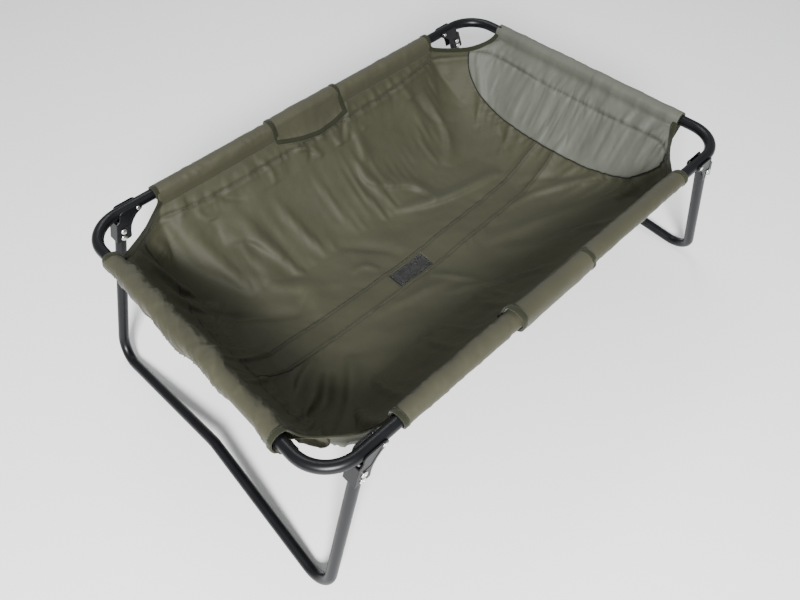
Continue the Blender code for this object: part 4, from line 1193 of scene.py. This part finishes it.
def saddle(name, side, sy, x0, x1, inner_z, outer, seed, lift, node, gape=0.0):
    """A padded flap folded over the sleeve; inner_z(x) is how low its free edge hangs."""
    n, m = 70, 46
    S = np.linspace(x0, x1, n)
    rows = []
    for k, x in enumerate(S):
        zi = inner_z((x - x0) / (x1 - x0))
        z_half = zi * 0.5 - 0.004
        sec = [(min(-0.0160, wall_a(sy, x, zi) - 0.0046), zi),
               (min(-0.0168 - lift, wall_a(sy, x, z_half) - 0.0046), z_half),
               (-0.0148 - lift, 0.001), (-0.0108 - lift, 0.0112 + lift * 0.6),
               (0.0, 0.0152 + lift), (0.0106 + lift, 0.0112 + lift * 0.6),
               (0.0158 + lift, 0.0), (0.0140 + lift, -0.0110), outer]
        rows.append(catmull(sec, m))
    sec = np.array(rows)
    for _ in range(3):
        sec[1:-1] = (sec[:-2] + 2 * sec[1:-1] + sec[2:]) / 4
    t = np.gradient(sec, axis=1)
    nn = np.stack([-t[:, :, 1], t[:, :, 0]], 2)
    nn /= np.linalg.norm(nn, axis=2, keepdims=True)
    if nn[0, m // 2, 1] < 0:
        nn = -nn
    W = np.linspace(0, 1, m)[None, :] + 0 * sec[:, :, 0]
    SS = S[:, None] + 0 * W
    d = 0.0011 * fbm(SS / 0.030, W * 2.0, seed, 2) \
        + 0.0010 * np.abs(fbm(SS / 0.012 + W * 2, W * 3.0, seed + 3, 2)) * smoothstep(0.4, 0.1, W)
    e = np.minimum(SS - x0, x1 - SS)
    d += 0.0016 * np.exp(-(e / 0.010)) * fbm(SS / 0.010, W / 0.09, seed + 7, 2)
    d += 0.0016 * np.sin(math.pi * np.clip((SS - x0) / (x1 - x0), 0, 1)) ** 0.5
    # the end towards the tail stands open
    d += gape * np.exp(-((SS - x0) / 0.022)) * smoothstep(0.95, 0.55, W)
    sec = sec + nn * d[:, :, None]
    P = np.stack([SS, sy * (HY + sec[:, :, 0]), sec[:, :, 1]], 2)
    per = arc(sec[n // 2])
    uv = np.stack([SS, np.repeat(per[None], n, 0)], 2).reshape(-1, 2)
    ob = grid_object(name, P, GRIP_M, uv=uv)
    bm = bmesh.new()
    bm.from_mesh(ob.data)
    f = max(bm.faces, key=lambda f: f.calc_center_median().z)
    if f.normal.z < 0:
        bmesh.ops.reverse_faces(bm, faces=bm.faces)
    bm.to_mesh(ob.data)
    bm.free()
    solid(ob, 0.0022, -1.0)
    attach(ob, "root")
    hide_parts(node)
    N3 = np.stack([0 * nn[:, :, 0], sy * nn[:, :, 0], nn[:, :, 1]], 2)
    made = []
    for tag, path, into, nor in (
            ("end_a", P[0], np.tile([1.0, 0, 0], (m, 1)), N3[0]),
            ("end_b", P[-1], np.tile([-1.0, 0, 0], (m, 1)), N3[-1]),
            ("hem", P[:, 0], P[:, 4] - P[:, 0], N3[:, 0])):
        into = into / np.linalg.norm(into, axis=1, keepdims=True)
        tape = tape_edge(f"{name}_{tag}", path - nor * 0.0011, into, nor, 0.0092, 0.0050, TAPE_M)
        tape.parent = ob
        tape.matrix_parent_inverse = Matrix.Identity(4)
        made.append(tape)
    return ob, P, made


GRIPS = {}
GRIPS["far"] = saddle("far_carry_grip", "far", 1, -0.094, 0.080,
                      lambda k: -0.018 - 0.026 * math.sin(math.pi * min(1, k * 0.70 + 0.08)),
                      (0.0060, -0.0180), 401, 0.0010, "carry_grip_far")
GRIPS["near"] = saddle("near_carry_grip", "near", -1, -0.112, 0.072,
                       lambda k: -0.024 - 0.004 * math.sin(math.pi * k),
                       (0.0040, -0.0200), 421, 0.0012, "carry_grip_near", 0.0080)


# ------------------------------------------------------------------ stitching and piping
def stitches(name, paths, parent_body="root", pitch=0.0042, long=0.0030, r=0.00030,
             mat=None):
    """Sewn thread: one small rounded dash for each stitch. paths: (points, normals)."""
    verts, faces = [], []
    ring = 5
    for pts, nor in paths:
        s = arc(pts)
        n = int(s[-1] / pitch)
        if n < 2:
            continue
        at = (np.arange(n) + 0.5) * pitch
        half = long / 2
        A = np.stack([np.interp(at - half, s, pts[:, k]) for k in range(3)], 1)
        B = np.stack([np.interp(at + half, s, pts[:, k]) for k in range(3)], 1)
        Q = np.stack([np.interp(at, s, nor[:, k]) for k in range(3)], 1)
        Q /= np.linalg.norm(Q, axis=1, keepdims=True)
        for a, b, q in zip(A, B, Q):
            t = b - a
            ln = np.linalg.norm(t)
            if ln < 1e-6:
                continue
            t = t / ln
            side_ = np.cross(t, q)
            base_i = len(verts)
            for f, rr, up in ((0.0, 0.35, -0.4), (0.22, 1.0, 0.5), (0.78, 1.0, 0.5),
                              (1.0, 0.35, -0.4)):
                c = a + t * ln * f + q * r * up
                for k in range(ring):
                    an = math.tau * k / ring
                    verts.append(c + (side_ * math.cos(an) + q * math.sin(an)) * r * rr)
            for g in range(3):
                for k in range(ring):
                    k2 = (k + 1) % ring
                    faces.append((base_i + g * ring + k, base_i + g * ring + k2,
                                  base_i + (g + 1) * ring + k2, base_i + (g + 1) * ring + k))
            faces.append(tuple(base_i + k for k in range(ring))[::-1])
            faces.append(tuple(base_i + 3 * ring + k for k in range(ring)))
    V_ = np.array(verts) + (0, 0, RZ)
    ob = new_object(name, V_, faces, mat or THREAD_M, np.stack([V_[:, 0], V_[:, 1]], 1))
    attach(ob, parent_body)
    return ob


N = grid_normals(G)


def across(i_line, j_line, lift):
    """Points and normals on the trough for arrays of fractional rows and columns."""
    P = sample_grid(G, i_line, j_line)
    Q = sample_grid(N, i_line, j_line)
    Q /= np.linalg.norm(Q, axis=1, keepdims=True)
    return P + Q * lift, Q


def col_at(i, target, attr):
    """Fractional column of row i where attr reaches target, interpolated along the whole row."""
    return float(np.interp(target, attr[i, :], np.arange(NV)))


seam_paths = []
for sgn in (-1, 1):
    for shift in (-0.0018, 0.0018):
        ii_, jj_ = [], []
        for i in range(SEAM_L + 6, SEAM_R - 6):
            half = np.arange(NV // 2, NV) if sgn > 0 else np.arange(NV // 2, -1, -1)
            z_line = base[i, half, 2]
            jj_.append(np.interp(seam_z[i, 0 if sgn < 0 else NV - 1] + shift, z_line, half))
            ii_.append(i)
        seam_paths.append(across(np.array(ii_, float), np.array(jj_, float), 0.0003))
side_seam = stitches("side_seam_stitches", seam_paths)
strip_paths = []
for sgn in (-1, 1):
    for inset in (0.0022, 0.0075):
        jj_ = np.interp(sgn * (STRIP_Y - inset), col_y, np.arange(NV))
        ii_ = np.arange(SEAM_L + 2, SEAM_R - 1, dtype=float)
        strip_paths.append(across(ii_, ii_ * 0 + jj_, 0.0014))
# a stitched square round the drain window
j_a, j_b = np.interp([-MESH_Y - 0.0024, MESH_Y + 0.0024], col_y, np.arange(NV))
for jj_ in (j_a, j_b):
    ii_ = np.linspace(wi[0] - 0.6, wi[-1] + 0.6, 60)
    strip_paths.append(across(ii_, ii_ * 0 + jj_, 0.0014))
for i_ in (wi[0] - 0.6, wi[-1] + 0.6):
    jj_ = np.linspace(j_a, j_b, 30)
    strip_paths.append(across(jj_ * 0 + i_, jj_, 0.0014))
strip_st = stitches("strip_stitches", strip_paths)
# pad: the puckered seam, and piping along its foot
Pn = grid_normals(pad_top)
jj_ = np.linspace(3, NV - 4, 240)
ti = np.interp(jj_, np.arange(NV), seam_t[0]) * (pi1 - pi0)
in_panel = ti > 1.2
jj_, ti = jj_[in_panel], ti[in_panel]
pad_line = sample_grid(pad_top, ti, jj_)
pad_norm = sample_grid(Pn, ti, jj_)
pad_st = stitches("pad_stitches", [(pad_line + pad_norm * 0.0004, pad_norm)])
piping_path = G[SEAM_R, 2:-2] + N[SEAM_R, 2:-2] * 0.0022
piping = tube_object("pad_piping", piping_path[::2], 0.0013, cloth_material(
    "piping_cord", srgb(9, 9, 8), 0.7, weave=0.0004), 12, True)
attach(piping, "root")
bind_paths = [(p + i_ * 0.0072 + n_ * 0.0018, n_) for p, i_, n_ in BINDINGS.values()]
bind_st = stitches("binding_stitches", bind_paths)

# ------------------------------------------------------------------ cloth over a folded leg
RISE = float(-0.0190 - G[:, :, 2].min()) + 0.0015
raised = bpy.data.objects.new("cloth_raised_by_legs", None)
bpy.context.scene.collection.objects.link(raised)
for end, sx in (("left", -1), ("right", 1)):
    foot = bpy.data.objects.new(f"foot_bar_{end}", None)
    bpy.context.scene.collection.objects.link(foot)
    foot.location = (sx * leg_x(FOOT_DROP - ARCH), 0, RZ - FOOT_DROP + ARCH)
    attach(foot, f"leg_{end}")
    c = raised.constraints.new("TRANSFORM")
    c.target = foot
    c.map_from, c.map_to = "LOCATION", "LOCATION"
    c.map_to_x_from, c.map_to_y_from, c.map_to_z_from = "X", "Y", "Z"
    c.from_min_z, c.from_max_z = RZ - 0.205, RZ - 0.0335
    c.to_min_z, c.to_max_z = 0.0, RISE
    c.mix_mode = "ADD"
    c.use_motion_extrapolate = False
c = raised.constraints.new("LIMIT_LOCATION")
c.use_max_z, c.max_z = True, RISE
bpy.context.view_layer.update()


def rises(ob, extra=0.0):
    """The floor of the trough is carried up by whichever foot bar folds under it."""
    n = len(ob.data.vertices)
    co = np.zeros(n * 3)
    ob.data.vertices.foreach_get("co", co)
    co = co.reshape(-1, 3)
    z = co[:, 2] - RZ
    drop = np.maximum(0, -0.0190 - z)
    along = smoothstep(0.36, 0.085, np.abs(co[:, 0]))
    soft = drop + 0.0 * z
    w = np.clip(along * soft / RISE, 0, 1)
    g = ob.vertex_groups.new(name="raised")
    for k in np.flatnonzero(w > 1e-4):
        g.add([int(k)], float(w[k]), "REPLACE")
    h = ob.modifiers.new("raised", "HOOK")
    h.object = raised
    h.vertex_group = "raised"
    h.falloff_type = "NONE"
    h.strength = 1.0
    h.center = (0, 0, 0)
    h.matrix_inverse = raised.matrix_world.inverted() @ ob.matrix_world
    ob.modifiers.move(len(ob.modifiers) - 1, 0)


for ob in [sling, strip, net, side_seam, strip_st, piping, pad, pad_st, sleeves["far"][0],
           sleeves["near"][0]] + [o for side in ("far", "near")
                                  for o in [GRIPS[side][0]] + GRIPS[side][2]]:
    rises(ob)

# beside a folded hinge bracket the cloth is pushed in a little
for end, sx in (("left", -1), ("right", 1)):
    for side, sy in (("near", -1), ("far", 1)):
        tag = f"{side}_{end}"
        push = bpy.data.objects.new(f"cloth_pushed_{tag}", None)
        bpy.context.scene.collection.objects.link(push)
        c = push.constraints.new("TRANSFORM")
        c.target = bpy.data.objects[f"foot_bar_{end}"]
        c.map_from, c.map_to = "LOCATION", "LOCATION"
        c.map_to_x_from = c.map_to_y_from = c.map_to_z_from = "Z"
        c.from_min_z, c.from_max_z = RZ - 0.205, RZ - 0.0335
        if sy > 0:
            c.to_min_y, c.to_max_y = 0.0, -0.0062
        else:
            c.to_min_y, c.to_max_y = 0.0, 0.0062
        c.mix_mode = "ADD"
        c.use_motion_extrapolate = False
        bpy.context.view_layer.update()
        for ob in (sling, sleeves[side][0], side_seam, bind_st,
                   bpy.data.objects[f"binding_{tag}"]):
            n = len(ob.data.vertices)
            co = np.zeros(n * 3)
            ob.data.vertices.foreach_get("co", co)
            co = co.reshape(-1, 3)
            x, y, z = co[:, 0] * sx, co[:, 1] * sy, co[:, 2] - RZ
            w = (smoothstep(0.290, 0.322, x) * smoothstep(0.412, 0.375, x)
                 * smoothstep(-0.0125, -0.0195, z) * smoothstep(-0.110, -0.070, z)
                 * (y > 0.22) * (y < 0.3165))
            near_tube = np.hypot(y - HY, z) < TUBE_R + 0.0030
            w = np.where(near_tube & (z > -0.0150), 0.0, w)
            g = ob.vertex_groups.new(name=f"pushed_{tag}")
            for k in np.flatnonzero(w > 1e-3):
                g.add([int(k)], float(w[k]), "REPLACE")
            h = ob.modifiers.new(f"pushed_{tag}", "HOOK")
            h.object = push
            h.vertex_group = g.name
            h.falloff_type = "NONE"
            h.strength = 1.0
            h.center = (0, 0, 0)
            h.matrix_inverse = push.matrix_world.inverted() @ ob.matrix_world
            ob.modifiers.move(len(ob.modifiers) - 1, 0)


# ------------------------------------------------------------------ stage, light, camera
floor = new_object("floor", [(-6, -6, -0.0005), (6, -6, -0.0005), (6, 6, -0.0005),
                             (-6, 6, -0.0005)], [(0, 1, 2, 3)])
fm, fnt, fb = nodes_of("floor_white")
fb.inputs["Base Color"].default_value = (0.93, 0.93, 0.93, 1)
fb.inputs["Roughness"].default_value = 0.9
fb.inputs["Specular IOR Level"].default_value = 0.1
floor.data.materials.append(fm)

world = bpy.data.worlds.new("studio")
bpy.context.scene.world = world
world.use_nodes = True
bg = world.node_tree.nodes["Background"]
bg.inputs["Color"].default_value = (0.95, 0.97, 1.0, 1)
bg.inputs["Strength"].default_value = 0.57


def area(name, at, to, size, power, colour=(1, 1, 1)):
    d = bpy.data.lights.new(name, "AREA")
    d.shape = "RECTANGLE"
    d.size, d.size_y = size
    d.energy = power
    d.color = colour
    ob = bpy.data.objects.new(name, d)
    ob.location = at
    ob.rotation_euler = (Vector(to) - Vector(at)).to_track_quat("-Z", "Y").to_euler()
    bpy.context.scene.collection.objects.link(ob)
    return ob


area("key", (-2.02, -1.98, 2.12), (0, 0, 0.2), (0.80, 0.80), 325)
area("rim", (0.6, 1.2, 2.6), (0, 0, 0.3), (1.2, 0.7), 24)

AZ, EL, ROLL, FOCAL = 0.8415, 0.8978, 0.0418, 685.2
d = Vector((math.cos(EL) * math.cos(AZ), math.cos(EL) * math.sin(AZ), -math.sin(EL)))
right = d.cross(Vector((0, 0, 1))).normalized()
down = d.cross(right)
r2 = math.cos(ROLL) * right + math.sin(ROLL) * down
d2 = -math.sin(ROLL) * right + math.cos(ROLL) * down
cam_data = bpy.data.cameras.new("camera")
cam_data.sensor_width = 36
cam_data.lens = 36 * FOCAL / 800
cam_data.clip_start, cam_data.clip_end = 0.05, 60
cam = bpy.data.objects.new("camera", cam_data)
bpy.context.scene.collection.objects.link(cam)
m = Matrix((r2, -d2, -d)).transposed().to_4x4()
m.translation = Vector((-0.65229, -0.66934, 0.83849 + RZ))
cam.matrix_world = m
bpy.context.scene.camera = cam

bpy.context.view_layer.update()
